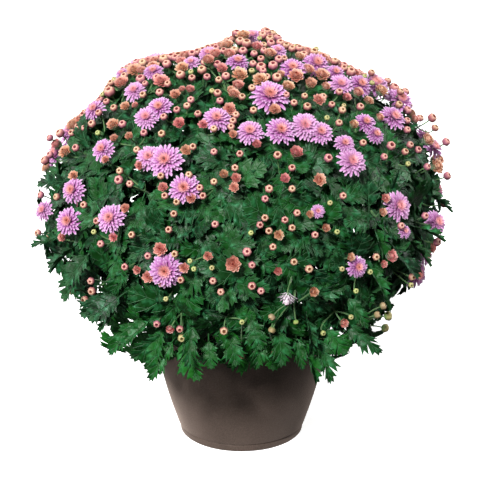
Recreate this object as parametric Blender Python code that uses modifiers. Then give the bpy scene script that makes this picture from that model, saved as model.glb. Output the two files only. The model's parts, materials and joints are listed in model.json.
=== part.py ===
"""Pot chrysanthemum: a round bush of leafy stems, pink blooms and buds in a bowl pot.

Metres, +Z up. The origin is the middle of the pot's flat underside, and -Y is the side that
the reference picture shows. The bush fills a dome. Heads of flower on the seen side stand
where the picture shows them, and the rest of the bush follows rules with a fixed seed.
"""

import math
import random
from dataclasses import dataclass, field

import bmesh
import bpy
from mathutils import Matrix, Vector
from mathutils.bvhtree import BVHTree

NAME = "pot_chrysanthemum"
SEED = 1871
WELD = 1e-6

# Pot
POT_HEIGHT = 0.172
POT_WALL = 0.0028
FLOOR = 0.004
BASE_RADIUS = 0.096
FOOT_RADIUS = 0.0985
FOOT_HEIGHT = 0.013
FOOT_STEP = 0.001
BODY_RADIUS = 0.1000
RIM_RADIUS = 0.1320
LIP_OUT = 0.0035
LIP_HEIGHT = 0.007
OUTER_STEPS = 4
INNER_STEPS = 3
TURN_STEPS = 30
DRAIN_RADIUS = 0.006
DRAIN_RING = 0.060
DRAIN_COUNT = 5

# Soil, with a plain hole for each stem
SOIL_TOP = 0.150
SEAT_GAP = 0.0003
HOLE_DEPTH = 0.030
HOLE_SIDES = 6
HOLE_ROOM = 0.0014

# Dome that the bush fills
DOME_Z = 0.352
DOME_RADIUS = 0.314
DOME_UP = 0.276
DOME_DOWN = 0.245
GOLDEN_ANGLE = math.pi * (3 - math.sqrt(5))

# Leafy stems: a tube from the soil to a small core, which the leaves and stalks grow from
STEM_COUNT = 14
STEM_LOW = -26.0
STEM_HIGH = 84.0
STEM_FOOT = 0.0048
STEM_TIP = 0.0032
STEM_SPREAD = 0.074
STEM_STEPS = 3
STEM_CLEAR = 0.006
STEM_LEAN = 1.25
STEM_RISE = 0.45
CORE_SHARE = 0.66
CORE_FILL = 0.485

# Leaves
LEAF_COUNT = 90
LEAF_CROWD = 0.84
LEAF_LOW = -58.0
LEAF_HIGH = 82.0
LEAF_LENGTH = (0.074, 0.090)
LEAF_SHARE = (0.86, 0.97)
LEAF_TOP_DROP = 0.10
LEAF_LEAN = (0.30, 0.70)
LEAF_SPIN = 0.9
LEAF_TRIES = 40
LEAF_CROWN = 0.95
LEAF_THICK = 0.0009
ROOT_SHARE = 0.68
# Half of a blade's edge: along the rib, and out from it, both in blade lengths
BLADE_EDGE = ((0.0, 0.04), (0.04, 0.34), (0.28, 0.19), (0.46, 0.47), (0.64, 0.21))
BLADE_MIDDLE = 0.42
BLADE_FOLD = 0.16
BLADE_DROOP = 0.35

# Stalks of the heads
STALK_RADIUS = 0.0015
STALK_TAPER = 1.3
STALK_SIDES = 3
STALK_BENDS = (0.0, 0.35, 0.6)
STALK_STEMS = 3

# Heads: shapes as (radius, height) in head radii, for rings of tips and of notches
FOOT = {"open": -0.42, "half": -0.60, "bud": -1.0}
BLOOM_LOWER = ((1.0, -0.02), (0.64, -0.14))
BLOOM_UPPER = ((0.42, 0.14), (0.74, 0.20))
BLOOM_RECESS = (0.46, 0.03)
BLOOM_TOP = 0.33
BLOOM_PETALS = ((0.0175, 8), (0.0, 7))
BLOOM_NODES = 44
HALF_PETALS = 6
HALF_CUP = ((1.0, 0.30), (0.82, 0.10))
HALF_EYE = 0.16
BUD_SIDES = 6
BUD_WAIST = (1.0, -0.10)
BUD_CROWN = (0.52, 0.85)
HEAD_STEP = 0.003
HEAD_STEPS = 9
HEAD_ROOM = 0.62
HEAD_LIFT = 0.25
HEAD_SWAY = 0.2

# The eye that the picture was taken from, and the picture's scale. They only turn the
# places below, which are pixels of the 483 by 479 picture, into places on the dome.
EYE = Vector((0.0, -2.30, 1.10))
AIM = Vector((0.0, 0.0, 0.313))
PICTURE_CENTRE = (241.5, 239.5)
FOCAL_PIXELS = 1581.0
SIGHT_START = 1.3
SIGHT_STEP = 0.002
SIGHT_STEPS = 420

# Heads seen in the picture: pixel across, pixel down, width in pixels
OPEN_HEADS = (
    (270, 95, 33), (165, 160, 30), (149, 157, 24), (184, 188, 28), (217, 118, 25), (250, 131, 24),
    (281, 130, 26), (305, 125, 26), (321, 132, 22), (352, 161, 26), (345, 143, 18), (366, 122, 19),
    (394, 117, 24), (434, 147, 22), (293, 68, 23), (317, 63, 24), (341, 84, 21), (361, 84, 21),
    (102, 149, 21), (93, 108, 20), (134, 90, 20), (146, 117, 21), (159, 107, 22), (72, 190, 23),
    (68, 221, 24), (43, 210, 19), (110, 218, 26), (165, 271, 30), (399, 206, 26), (437, 222, 23),
    (358, 267, 19), (287, 297, 20), (238, 61, 20), (252, 34, 19), (153, 71, 18), (191, 62, 15),
    (278, 50, 15), (336, 72, 17), (376, 134, 17), (233, 264, 19), (318, 211, 12), (405, 231, 13),
    (122, 73, 14), (208, 53, 17),
)
HALF_HEADS = (
    (181, 61, 14), (175, 94, 14), (190, 89, 13), (238, 85, 17), (186, 150, 14), (140, 165, 14),
    (191, 198, 13), (392, 256, 16), (160, 249, 16), (148, 277, 14), (326, 86, 13), (356, 70, 15),
    (354, 124, 13), (380, 117, 12), (129, 136, 12), (275, 109, 15), (222, 68, 14), (285, 178, 13),
    (236, 178, 13), (314, 292, 14), (344, 323, 13), (125, 208, 12), (208, 256, 12), (170, 329, 12),
    (347, 97, 12), (369, 100, 12), (62, 237, 12), (73, 175, 12), (125, 106, 13), (326, 228, 12),
)
BUDS = (
    (51, 128, 10), (44, 160, 10), (222, 38, 8), (272, 34, 10), (336, 61, 8), (408, 89, 9),
    (394, 88, 11), (432, 118, 10), (446, 142, 9), (447, 176, 9), (437, 242, 9), (388, 316, 10),
    (385, 328, 9), (336, 344, 10), (275, 352, 9), (241, 355, 10), (182, 338, 9), (85, 300, 9),
    (92, 291, 9), (92, 124, 9), (110, 92, 12), (119, 180, 10), (269, 189, 9), (247, 252, 10),
    (391, 146, 10), (309, 269, 9), (252, 286, 9), (224, 331, 9),
)

# Heads on the unseen side: a spiral of clusters, each with a bloom or two and smaller heads
BACK_CLUSTERS = 11
BACK_LOW = -14.0
BACK_HIGH = 62.0
BACK_ARC = 200.0
BACK_SPREAD = 0.036
BACK_MIDDLE = 0.25
BACK_REACH = (0.8, 1.2)
BACK_SWING = 0.4
BACK_STAGES = ("open", "half", "open", "bud")
BACK_WIDTHS = {"open": (0.034, 0.046), "half": (0.019, 0.024), "bud": (0.013, 0.016)}

# Colour, roughness
COLOURS = {
    "pot": ((0.100, 0.080, 0.070), 0.55),
    "soil": ((0.045, 0.030, 0.022), 0.95),
    "leaf": ((0.035, 0.150, 0.050), 0.50),
    "petal": ((0.800, 0.380, 0.690), 0.55),
}


@dataclass
class Stem:
    """A leafy stem: where it stands, its core, and the meshes that are fused into it."""

    foot: Vector
    core: Vector
    radius: float = 0.0
    meshes: list = field(default_factory=list)
    trees: list = field(default_factory=list)

    def add(self, mesh, tree=None):
        self.meshes.append(mesh)
        self.trees.append(tree or tree_of(mesh))


@dataclass
class Head:
    """A head of flower: its stage, its middle, the way that it faces and its radius."""

    stage: str
    place: Vector
    way: Vector
    radius: float
    fused: bool = True
    mesh: object = None
    tree: object = None


# Meshes and objects


def clear_scene():
    for thing in list(bpy.data.objects):
        bpy.data.objects.remove(thing, do_unlink=True)


def collection(name):
    made = bpy.data.collections.new(name)
    bpy.context.scene.collection.children.link(made)
    return made


def finish_material(name):
    """A Principled material of one of the object's colours."""
    made = bpy.data.materials.get(name) or bpy.data.materials.new(name)
    made.use_nodes = True
    shader = made.node_tree.nodes["Principled BSDF"]
    colour, roughness = COLOURS[name]
    shader.inputs["Base Color"].default_value = (*colour, 1.0)
    shader.inputs["Roughness"].default_value = roughness
    return made


def object_of(name, mesh, group, finish=None):
    made = bpy.data.objects.new(name, mesh)
    group.objects.link(made)
    if finish:
        mesh.materials.clear()
        mesh.materials.append(finish_material(finish))
    else:
        made.hide_render = True
        made.display_type = "WIRE"
    return made


def evaluated_mesh(thing):
    """The object's mesh with its modifiers, or a curve's tube with its caps welded on."""
    bpy.context.view_layer.update()
    graph = bpy.context.evaluated_depsgraph_get()
    mesh = bpy.data.meshes.new_from_object(thing.evaluated_get(graph))
    body = bmesh.new()
    body.from_mesh(mesh)
    bmesh.ops.remove_doubles(body, verts=body.verts, dist=WELD)
    bmesh.ops.recalc_face_normals(body, faces=body.faces)
    body.to_mesh(mesh)
    body.free()
    return mesh


def mesh_of(body, name):
    """A mesh from a bmesh, which is freed."""
    bmesh.ops.recalc_face_normals(body, faces=body.faces)
    mesh = bpy.data.meshes.new(name)
    body.to_mesh(mesh)
    body.free()
    return mesh


def tree_of(mesh):
    return BVHTree.FromPolygons([v.co for v in mesh.vertices], [p.vertices for p in mesh.polygons])


def crosses(tree, others):
    return any(tree.overlap(other) for other in others)


def boolean(target, operands, operation, solver="EXACT"):
    """Cuts or joins a collection of meshes for good, and removes the collection's objects."""
    tool = target.modifiers.new(operation.lower(), "BOOLEAN")
    tool.operation = operation
    tool.operand_type = "COLLECTION"
    tool.collection = operands
    tool.solver = solver
    finish = target.data.materials[0]
    mesh = evaluated_mesh(target)
    mesh.materials.clear()
    mesh.materials.append(finish)
    target.modifiers.clear()
    target.data = mesh
    for operand in list(operands.objects):
        bpy.data.objects.remove(operand)


def fused(name, meshes, group, finish):
    """One body from meshes that overlap."""
    base = object_of(name, meshes[0], group, finish)
    if len(meshes) > 1:
        parts = collection(name + "_parts")
        for mesh in meshes[1:]:
            object_of(name + "_part", mesh, parts)
        boolean(base, parts, "UNION", "MANIFOLD")
        bpy.data.collections.remove(parts)
    return base


# Pot and soil


def wall_radius(height):
    """The pot's outer radius between its foot band and its lip, which follows a bow."""
    share = (height - FOOT_HEIGHT) / (POT_HEIGHT - LIP_HEIGHT - FOOT_HEIGHT)
    return BODY_RADIUS + (RIM_RADIUS - BODY_RADIUS) * math.sin(math.pi / 2 * share)


def wall_points(top, steps, inset=0.0):
    """(radius, height) up the bowed wall, an inset in from its outside."""
    heights = [FOOT_HEIGHT + (top - FOOT_HEIGHT) * i / steps for i in range(steps + 1)]
    return [(wall_radius(height) - inset, height) for height in heights]


def inner_side(top, inset):
    """(radius, height) up the wall's inner face to a height, on the pot's own facets."""
    points = wall_points(POT_HEIGHT - LIP_HEIGHT, INNER_STEPS, inset)
    below = [point for point in points if point[1] < top]
    last, after = below[-1], points[len(below)]
    share = (top - last[1]) / (after[1] - last[1])
    return below + [(last[0] + (after[0] - last[0]) * share, top)]


def turned(name, profile, group, finish):
    """A solid turned about Z from (radius, height) points that start and end on the axis."""
    body = bmesh.new()
    points = [body.verts.new((radius, 0.0, height)) for radius, height in profile]
    for first, second in zip(points, points[1:]):
        body.edges.new((first, second))
    mesh = bpy.data.meshes.new(name)
    body.to_mesh(mesh)
    body.free()
    made = object_of(name, mesh, group, finish)
    screw = made.modifiers.new("turn", "SCREW")
    screw.steps = TURN_STEPS
    screw.render_steps = TURN_STEPS
    screw.use_merge_vertices = True
    screw.merge_threshold = WELD
    screw.use_normal_calculate = True
    return made


def round_cutter(name, radius, low, high, place, cutters):
    body = bmesh.new()
    bmesh.ops.create_cone(
        body, cap_ends=True, segments=HOLE_SIDES, radius1=radius, radius2=radius, depth=high - low,
        matrix=Matrix.Translation((place[0], place[1], (low + high) / 2)),
    )
    return object_of(name, mesh_of(body, name), cutters)


def build_pot(group, cutters):
    """The bowl pot: foot band, bowed wall, lip, and a flat floor with drain holes."""
    lip_low = POT_HEIGHT - LIP_HEIGHT
    lip = RIM_RADIUS + LIP_OUT
    inside = [(0.0, FLOOR), (BASE_RADIUS - POT_WALL, FLOOR), *wall_points(lip_low, INNER_STEPS, POT_WALL)]
    rim = [(RIM_RADIUS - POT_WALL, POT_HEIGHT), (lip, POT_HEIGHT), (lip, lip_low)]
    outside = [*reversed(wall_points(lip_low, OUTER_STEPS)), (FOOT_RADIUS, FOOT_HEIGHT - FOOT_STEP)]
    pot = turned("pot", inside + rim + outside + [(BASE_RADIUS, 0.0), (0.0, 0.0)], group, "pot")
    for i in range(DRAIN_COUNT):
        turn = 2 * math.pi * i / DRAIN_COUNT
        place = (DRAIN_RING * math.cos(turn), DRAIN_RING * math.sin(turn))
        round_cutter(f"drain_{i + 1}", DRAIN_RADIUS, -FLOOR, 2 * FLOOR, place, cutters)
    boolean(pot, cutters, "DIFFERENCE")
    return pot


def build_soil(group, cutters, stems):
    """The soil that fills the pot, with a plain hole for each stem."""
    inset = POT_WALL + SEAT_GAP
    low = FLOOR + SEAT_GAP
    side = [*reversed(inner_side(SOIL_TOP, inset)), (BASE_RADIUS - inset, low)]
    soil = turned("potting_soil", [(0.0, SOIL_TOP), *side, (0.0, low)], group, "soil")
    for i, stem in enumerate(stems):
        bottom = SOIL_TOP - HOLE_DEPTH
        radius = STEM_FOOT + HOLE_ROOM
        round_cutter(f"hole_{i + 1}", radius, bottom, SOIL_TOP + HOLE_DEPTH, stem.foot, cutters)
    boolean(soil, cutters, "DIFFERENCE")
    return soil


# The dome and the picture


def direction_of(turn, lift):
    """The unit vector at an angle round Z and an angle above the horizon, in radians."""
    return Vector((math.cos(turn) * math.cos(lift), math.sin(turn) * math.cos(lift), math.sin(lift)))


def dome_reach(way):
    """How far the dome's surface is from its middle along a unit vector."""
    tall = DOME_UP if way.z > 0 else DOME_DOWN
    return 1 / math.sqrt((way.x**2 + way.y**2) / DOME_RADIUS**2 + way.z**2 / tall**2)


def on_dome(way, share=1.0):
    return Vector((0, 0, DOME_Z)) + way * dome_reach(way) * share


def dome_share(place):
    """1 on the dome's surface, less inside it."""
    arm = place - Vector((0, 0, DOME_Z))
    return arm.length / dome_reach(arm.normalized())


def dome_normal(place):
    arm = place - Vector((0, 0, DOME_Z))
    tall = DOME_UP if arm.z > 0 else DOME_DOWN
    return Vector((arm.x / DOME_RADIUS**2, arm.y / DOME_RADIUS**2, arm.z / tall**2)).normalized()


def spiral(count, low, high, crowd=1.0):
    """Directions in a golden-angle spiral from one angle above the horizon down to another.

    They are spread evenly where crowd is 1, and closer together low down where it is less."""
    bottom, top = math.sin(math.radians(low)), math.sin(math.radians(high))
    for i in range(count):
        rise = top + (bottom - top) * ((i + 0.5) / count) ** crowd
        yield direction_of(i * GOLDEN_ANGLE, math.asin(rise))


def picture_place(across, down):
    """Where a picture point's sight line first meets the dome, or passes nearest to it."""
    forward = (AIM - EYE).normalized()
    right = forward.cross(Vector((0, 0, 1))).normalized()
    upward = right.cross(forward)
    sight = forward * FOCAL_PIXELS
    sight += right * (across - PICTURE_CENTRE[0]) - upward * (down - PICTURE_CENTRE[1])
    sight.normalize()
    start = (AIM - EYE).length - DOME_RADIUS * SIGHT_START
    places = [EYE + sight * (start + SIGHT_STEP * i) for i in range(SIGHT_STEPS)]
    inside = [place for place in places if dome_share(place) <= 1.0]
    return inside[0] if inside else min(places, key=dome_share)


def picture_width(pixels, place):
    return pixels * (place - EYE).length / FOCAL_PIXELS


# Plan of the bush


def plan_stems():
    """Stems in a spiral, each with a core that keeps clear of the others."""
    stems = []
    for i, way in enumerate(spiral(STEM_COUNT, STEM_LOW, STEM_HIGH)):
        spread = STEM_SPREAD * math.sqrt(i / (STEM_COUNT - 1))
        foot = Vector((math.cos(i * GOLDEN_ANGLE), math.sin(i * GOLDEN_ANGLE))) * spread
        stems.append(Stem(foot, on_dome(way, CORE_SHARE)))
    for stem in stems:
        stem.radius = CORE_FILL * min((s.core - stem.core).length for s in stems if s is not stem)
    return stems


def nearest_stems(place, stems):
    return sorted(stems, key=lambda s: (s.core - place).length - s.radius)


def new_head(stage, place, radius, chance):
    """A head that faces out of the dome and somewhat up, with a little turn of its own."""
    way = dome_normal(place) + Vector((0, 0, HEAD_LIFT))
    way += Vector([chance.uniform(-HEAD_SWAY, HEAD_SWAY) for _ in range(3)])
    return Head(stage, place, way.normalized(), radius)


def seen_heads(chance):
    heads = []
    for stage, table in (("open", OPEN_HEADS), ("half", HALF_HEADS), ("bud", BUDS)):
        for across, down, width in table:
            place = picture_place(across, down)
            heads.append(new_head(stage, place, picture_width(width, place) / 2, chance))
    return heads


def unseen_heads(chance):
    """Clusters of heads round the back of the dome."""
    heads = []
    bottom, top = math.sin(math.radians(BACK_LOW)), math.sin(math.radians(BACK_HIGH))
    for i in range(BACK_CLUSTERS):
        rise = bottom + (top - bottom) * (i + 0.5) / BACK_CLUSTERS
        turn = math.pi / 2 + ((i * GOLDEN_ANGLE / (2 * math.pi)) % 1.0 - 0.5) * math.radians(BACK_ARC)
        middle = on_dome(direction_of(turn, math.asin(rise)))
        up = dome_normal(middle)
        for k, stage in enumerate(BACK_STAGES):
            swing = k * 2 * math.pi / len(BACK_STAGES) + chance.uniform(-BACK_SWING, BACK_SWING)
            reach = BACK_SPREAD * (chance.uniform(*BACK_REACH) if k else BACK_MIDDLE)
            place = middle + Matrix.Rotation(swing, 3, up) @ up.orthogonal().normalized() * reach
            place = on_dome((place - Vector((0, 0, DOME_Z))).normalized())
            heads.append(new_head(stage, place, chance.uniform(*BACK_WIDTHS[stage]) / 2, chance))
    return heads


def separate(heads):
    """Smaller heads that crowd a larger one stand further out of the dome."""
    done = []
    for head in sorted(heads, key=lambda h: -h.radius):
        for _ in range(HEAD_STEPS):
            room = [(h.place - head.place).length / (h.radius + head.radius) for h in done]
            if not room or min(room) > HEAD_ROOM:
                break
            head.place = head.place + dome_normal(head.place) * HEAD_STEP
        done.append(head)
    return done


# Green parts


def stem_route(stem):
    """Points of a stem: straight in its hole, then bending out to its core."""
    foot = Vector((*stem.foot, SOIL_TOP + STEM_CLEAR))
    lean = stem.foot * STEM_LEAN
    knee = Vector((*lean, SOIL_TOP + STEM_RISE * (stem.core.z - SOIL_TOP)))
    points = [Vector((*stem.foot, SOIL_TOP - HOLE_DEPTH + SEAT_GAP))]
    for i in range(STEM_STEPS + 1):
        t = i / STEM_STEPS
        points.append(foot * (1 - t) ** 2 + knee * 2 * t * (1 - t) + stem.core * t**2)
    return points


def stem_tube(stem, cutters):
    """The stem itself, a tapered six-sided tube."""
    points = stem_route(stem)
    curve = bpy.data.curves.new("stem", "CURVE")
    curve.dimensions = "3D"
    curve.bevel_depth = 1.0
    curve.bevel_resolution = 1
    curve.use_fill_caps = True
    spline = curve.splines.new("POLY")
    spline.points.add(len(points) - 1)
    for i, (point, place) in enumerate(zip(spline.points, points)):
        point.co = (*place, 1.0)
        point.radius = STEM_FOOT + (STEM_TIP - STEM_FOOT) * i / (len(points) - 1)
    guide = object_of("stem", curve, cutters)
    mesh = evaluated_mesh(guide)
    bpy.data.objects.remove(guide)
    return mesh


def stem_core(stem):
    body = bmesh.new()
    place = Matrix.Translation(stem.core)
    bmesh.ops.create_icosphere(body, subdivisions=1, radius=stem.radius, matrix=place)
    return mesh_of(body, "core")


def root_in_core(stem, place):
    """The point inside the stem's core that a stalk to a place grows from."""
    arm = place - stem.core
    return stem.core + arm * min(1.0, stem.radius * ROOT_SHARE / arm.length)


def leaf_mesh(root, base, axis, normal, length, cutters):
    """A lobed blade on its stalk: a sheet folded on its rib, drooping, given a thickness."""
    side = normal.cross(axis)
    body = bmesh.new()

    def at(along, out):
        rise = BLADE_FOLD * abs(out) - BLADE_DROOP * max(0.0, along - BLADE_MIDDLE) ** 2
        return body.verts.new(base + (axis * along + side * out + normal * rise) * length)

    left = [at(along, out) for along, out in BLADE_EDGE]
    right = [at(along, -out) for along, out in reversed(BLADE_EDGE)]
    edge = [*left, at(1.0, 0.0), *right]
    fan(body, edge, at(BLADE_MIDDLE, 0.0))
    body.faces.new((body.verts.new(root), edge[0], edge[-1]))
    sheet = object_of("leaf", mesh_of(body, "leaf"), cutters)
    thick = sheet.modifiers.new("thickness", "SOLIDIFY")
    thick.thickness = LEAF_THICK
    thick.offset = 0.0
    solid = evaluated_mesh(sheet)
    bpy.data.objects.remove(sheet)
    return solid


def leaf_try(way, stem_rank, stems, chance, cutters):
    """A leaf near a direction of the dome, lying like a shingle, and the stem it grows from."""
    length = chance.uniform(*LEAF_LENGTH)
    middle = on_dome(way, chance.uniform(*LEAF_SHARE) - LEAF_TOP_DROP * max(0.0, way.z) ** 2)
    out = dome_normal(middle)
    down = Vector((0, 0, -1)) + out * out.z
    if out.z > LEAF_CROWN:
        down = Vector((way.x, way.y, 0))
    down = Matrix.Rotation(chance.uniform(-LEAF_SPIN, LEAF_SPIN), 3, out) @ down.normalized()
    axis = (out * chance.uniform(*LEAF_LEAN) + down).normalized()
    normal = (out - axis * out.dot(axis)).normalized()
    base = middle - axis * length / 2
    stem = nearest_stems(base, stems)[stem_rank]
    return stem, leaf_mesh(root_in_core(stem, base), base, axis, normal, length, cutters)


# Heads and their stalks


def ring(body, count, radius, height, shift=0.0):
    turn = 2 * math.pi / count
    up = Vector((0, 0, height))
    return [body.verts.new(direction_of((i + shift) * turn, 0.0) * radius + up) for i in range(count)]


def star(body, count, even, odd):
    """A closed loop that goes in and out: tips and notches, or notches and tips."""
    first = ring(body, count, *even)
    second = ring(body, count, *odd, shift=0.5)
    return [vertex for pair in zip(first, second) for vertex in pair]


def fan(body, loop, centre):
    for first, second in zip(loop, loop[1:] + loop[:1]):
        body.faces.new((centre, first, second))


def loft(body, lower, upper):
    """Joins two loops of any number of points that start at the same angle."""
    i = j = 0
    while i < len(lower) or j < len(upper):
        here, there = lower[i % len(lower)], upper[j % len(upper)]
        if (i + 1) * len(upper) <= (j + 1) * len(lower):
            i += 1
            body.faces.new((here, lower[i % len(lower)], there))
        else:
            j += 1
            body.faces.new((here, upper[j % len(upper)], there))


def open_shape(body, head):
    """Two layers of petals round a raised middle. Like each shape it gives its lowest loop."""
    count = next(petals for least, petals in BLOOM_PETALS if head.radius > least)
    lower = star(body, count, *BLOOM_LOWER)
    recess = ring(body, count, *BLOOM_RECESS)
    upper = star(body, count, *BLOOM_UPPER)
    loft(body, recess, lower)
    loft(body, recess, upper)
    fan(body, upper, body.verts.new((0, 0, BLOOM_TOP)))
    return lower


def half_shape(body, head):
    """A cup of petals round a sunk eye."""
    cup = star(body, HALF_PETALS, *HALF_CUP)
    fan(body, cup, body.verts.new((0, 0, HALF_EYE)))
    return cup


def bud_shape(body, head):
    """A ball with a flat crown."""
    waist = ring(body, BUD_SIDES, *BUD_WAIST)
    crown = ring(body, BUD_SIDES // 2, *BUD_CROWN)
    loft(body, waist, crown)
    body.faces.new(crown)
    return waist


def head_frame(head):
    turn = head.way.to_track_quat("Z", "Y").to_matrix().to_4x4()
    return Matrix.Translation(head.place) @ turn


def bloom_mesh(head):
    """An open bloom by itself, which comes to a point below."""
    body = bmesh.new()
    fan(body, open_shape(body, head), body.verts.new((0, 0, FOOT["open"])))
    body.transform(head_frame(head) @ Matrix.Scale(head.radius, 4))
    return mesh_of(body, "bloom")


def stalk_rings(body, head, start, end, bend):
    """Three-sided rings from a core to a head, straight or bent into the head's axis."""
    points = [start, end]
    if bend:
        points.insert(1, end - head.way * (end - start).length * bend)
    across = head_frame(head).to_3x3().col[0]
    rings = []
    for i, point in enumerate(points):
        along = (points[min(i + 1, len(points) - 1)] - points[max(i - 1, 0)]).normalized()
        if i == len(points) - 1:
            along = head.way
        side = (across - along * along.dot(across)).normalized()
        thick = STALK_RADIUS * (STALK_TAPER if i == 0 else 1.0)
        turns = [Matrix.Rotation(k * 2 * math.pi / STALK_SIDES, 3, along) for k in range(STALK_SIDES)]
        rings.append([body.verts.new(point + turn @ side * thick) for turn in turns])
    for first, second in zip(rings, rings[1:]):
        loft(body, first, second)
    body.faces.new(rings[0])
    return rings


def stalk_mesh(head, stem, bend):
    """The stalk of a bloom that is a node of its own: it ends just below the bloom."""
    body = bmesh.new()
    end = head.place + head.way * (head.radius * FOOT["open"] - SEAT_GAP)
    rings = stalk_rings(body, head, root_in_core(stem, end), end, bend)
    body.faces.new(rings[-1])
    return mesh_of(body, "stalk")


def stalked_mesh(head, stem, bend):
    """A head and its stalk in one closed mesh."""
    body = bmesh.new()
    shape = {"open": open_shape, "half": half_shape, "bud": bud_shape}[head.stage]
    loop = shape(body, head)
    body.transform(head_frame(head) @ Matrix.Scale(head.radius, 4))
    end = head.place + head.way * head.radius * FOOT[head.stage]
    rings = stalk_rings(body, head, root_in_core(stem, end), end, bend)
    loft(body, rings[-1], loop)
    return mesh_of(body, head.stage)


# Putting it together


def bloom_groups(blooms):
    """Blooms that cross each other, gathered, with the largest groups first."""
    groups = []
    for bloom in blooms:
        joined = [g for g in groups if any(bloom.tree.overlap(other.tree) for other in g)]
        groups = [g for g in groups if g not in joined]
        groups.append([bloom] + [other for g in joined for other in g])
    return sorted(groups, key=lambda g: -sum(bloom.radius for bloom in g))


class Bush:
    """The stems, and what stands free of them, while the bush grows."""

    def __init__(self, stems, free, cutters, chance):
        self.stems = stems
        self.free = free
        self.cutters = cutters
        self.chance = chance
        self.left_out = []

    def barred(self, stem):
        """What a mesh of one stem keeps clear of."""
        return self.free + [tree for s in self.stems if s is not stem for tree in s.trees]

    def add_head(self, head):
        """Gives a head its stalk, with the head on it unless that is a node of its own."""
        for stem in nearest_stems(head.place, self.stems)[:STALK_STEMS]:
            for bend in STALK_BENDS:
                mesh = stalked_mesh(head, stem, bend) if head.fused else stalk_mesh(head, stem, bend)
                tree = tree_of(mesh)
                if not crosses(tree, self.barred(stem)):
                    stem.add(mesh, tree)
                    return
        self.left_out.append(head.stage)

    def add_leaf(self, way):
        """Tries places near a direction until a leaf crosses nothing of another stem."""
        for attempt in range(LEAF_TRIES):
            rank = attempt % 2
            stem, mesh = leaf_try(way, rank, self.stems, self.chance, self.cutters)
            tree = tree_of(mesh)
            own = stem.trees[2:] if attempt < LEAF_TRIES / 2 else []
            if not crosses(tree, self.barred(stem) + own):
                stem.add(mesh, tree)
                return
        self.left_out.append("leaf")


def build():
    clear_scene()
    group = collection(NAME)
    cutters = collection("cutters")
    chance = random.Random(SEED)
    stems = plan_stems()
    heads = separate(seen_heads(chance) + unseen_heads(chance))
    pot = build_pot(group, cutters)
    soil = build_soil(group, cutters, stems)

    for stem in stems:
        stem.add(stem_core(stem))
        stem.add(stem_tube(stem, cutters))
    blooms = [head for head in heads if head.stage == "open"]
    for bloom in blooms:
        bloom.mesh = bloom_mesh(bloom)
        bloom.tree = tree_of(bloom.mesh)
    groups = bloom_groups(blooms)[:BLOOM_NODES]
    for bloom in [bloom for members in groups for bloom in members]:
        bloom.fused = False

    free = [tree_of(pot.data), tree_of(soil.data)]
    free += [head.tree for head in heads if not head.fused]
    bush = Bush(stems, free, cutters, chance)
    for head in heads:
        bush.add_head(head)
    for way in spiral(LEAF_COUNT, LEAF_LOW, LEAF_HIGH, LEAF_CROWD):
        bush.add_leaf(way)

    for i, stem in enumerate(stems):
        fused(f"leafy_stem_{i + 1:02d}", stem.meshes, group, "leaf")
    for i, members in enumerate(groups):
        fused(f"bloom_{i + 1:02d}", [bloom.mesh for bloom in members], group, "petal")
    print("left out:", {kind: bush.left_out.count(kind) for kind in set(bush.left_out)})


build()
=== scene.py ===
"""Pot chrysanthemum, dressed: pot, soil, leafy shoots, open blooms, half-open heads and buds.

Metres, +Z up, and -Y is the seen side. The plan of the bush repeats the source's own sizes and
draws, so that each bloom stands where its solid stands. Leaves, stalks and the smaller heads
follow rules with a fixed seed.
"""

import json
import logging
import math
import random
from dataclasses import dataclass, field
from enum import Enum
from typing import Any, Iterator

import bmesh
import bpy
import numpy as np
from mathutils import Matrix, Quaternion, Vector, noise

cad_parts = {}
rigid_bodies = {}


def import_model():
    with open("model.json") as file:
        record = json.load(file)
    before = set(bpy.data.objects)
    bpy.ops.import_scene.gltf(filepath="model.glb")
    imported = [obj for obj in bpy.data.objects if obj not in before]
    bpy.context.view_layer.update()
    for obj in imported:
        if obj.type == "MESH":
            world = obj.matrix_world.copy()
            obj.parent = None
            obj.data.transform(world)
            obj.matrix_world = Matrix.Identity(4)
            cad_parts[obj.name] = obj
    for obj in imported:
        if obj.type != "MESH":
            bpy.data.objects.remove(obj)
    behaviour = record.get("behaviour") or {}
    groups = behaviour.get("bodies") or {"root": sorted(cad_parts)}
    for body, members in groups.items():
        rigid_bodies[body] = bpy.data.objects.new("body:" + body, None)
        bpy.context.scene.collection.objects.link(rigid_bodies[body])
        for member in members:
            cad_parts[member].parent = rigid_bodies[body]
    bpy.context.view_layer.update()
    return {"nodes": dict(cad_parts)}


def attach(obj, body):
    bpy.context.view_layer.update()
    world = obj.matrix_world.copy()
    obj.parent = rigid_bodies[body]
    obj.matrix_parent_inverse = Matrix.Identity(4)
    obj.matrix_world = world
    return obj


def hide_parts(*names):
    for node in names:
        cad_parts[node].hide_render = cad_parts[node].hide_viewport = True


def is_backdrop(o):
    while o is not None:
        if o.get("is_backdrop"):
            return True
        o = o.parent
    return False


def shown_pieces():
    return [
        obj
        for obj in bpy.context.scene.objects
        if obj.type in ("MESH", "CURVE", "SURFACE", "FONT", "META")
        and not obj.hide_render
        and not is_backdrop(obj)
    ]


Thing = bpy.types.Object
Mesh = bpy.types.Mesh
Pair = tuple[float, float]
Face = tuple[int, ...]
Stops = tuple[tuple[float, str], ...]
Settings = tuple[tuple[str, Any], ...]
Values = dict[str, Any]
Inputs = dict[Any, Any] | None
Line = list[tuple[Vector, float, float]]

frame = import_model()

log = logging.getLogger("pot_chrysanthemum")

SOURCE_SEED = 1871
DRESS_SEED = 407
HALF_SEED = DRESS_SEED + 40
# Seeds of one head's petals stay clear of the next head's, because each head uses this many or fewer
SEED_STEP = 7
GOLDEN_ANGLE = math.pi * (3 - math.sqrt(5))
BODY = "root"
MILLIMETRE = 0.001

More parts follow.
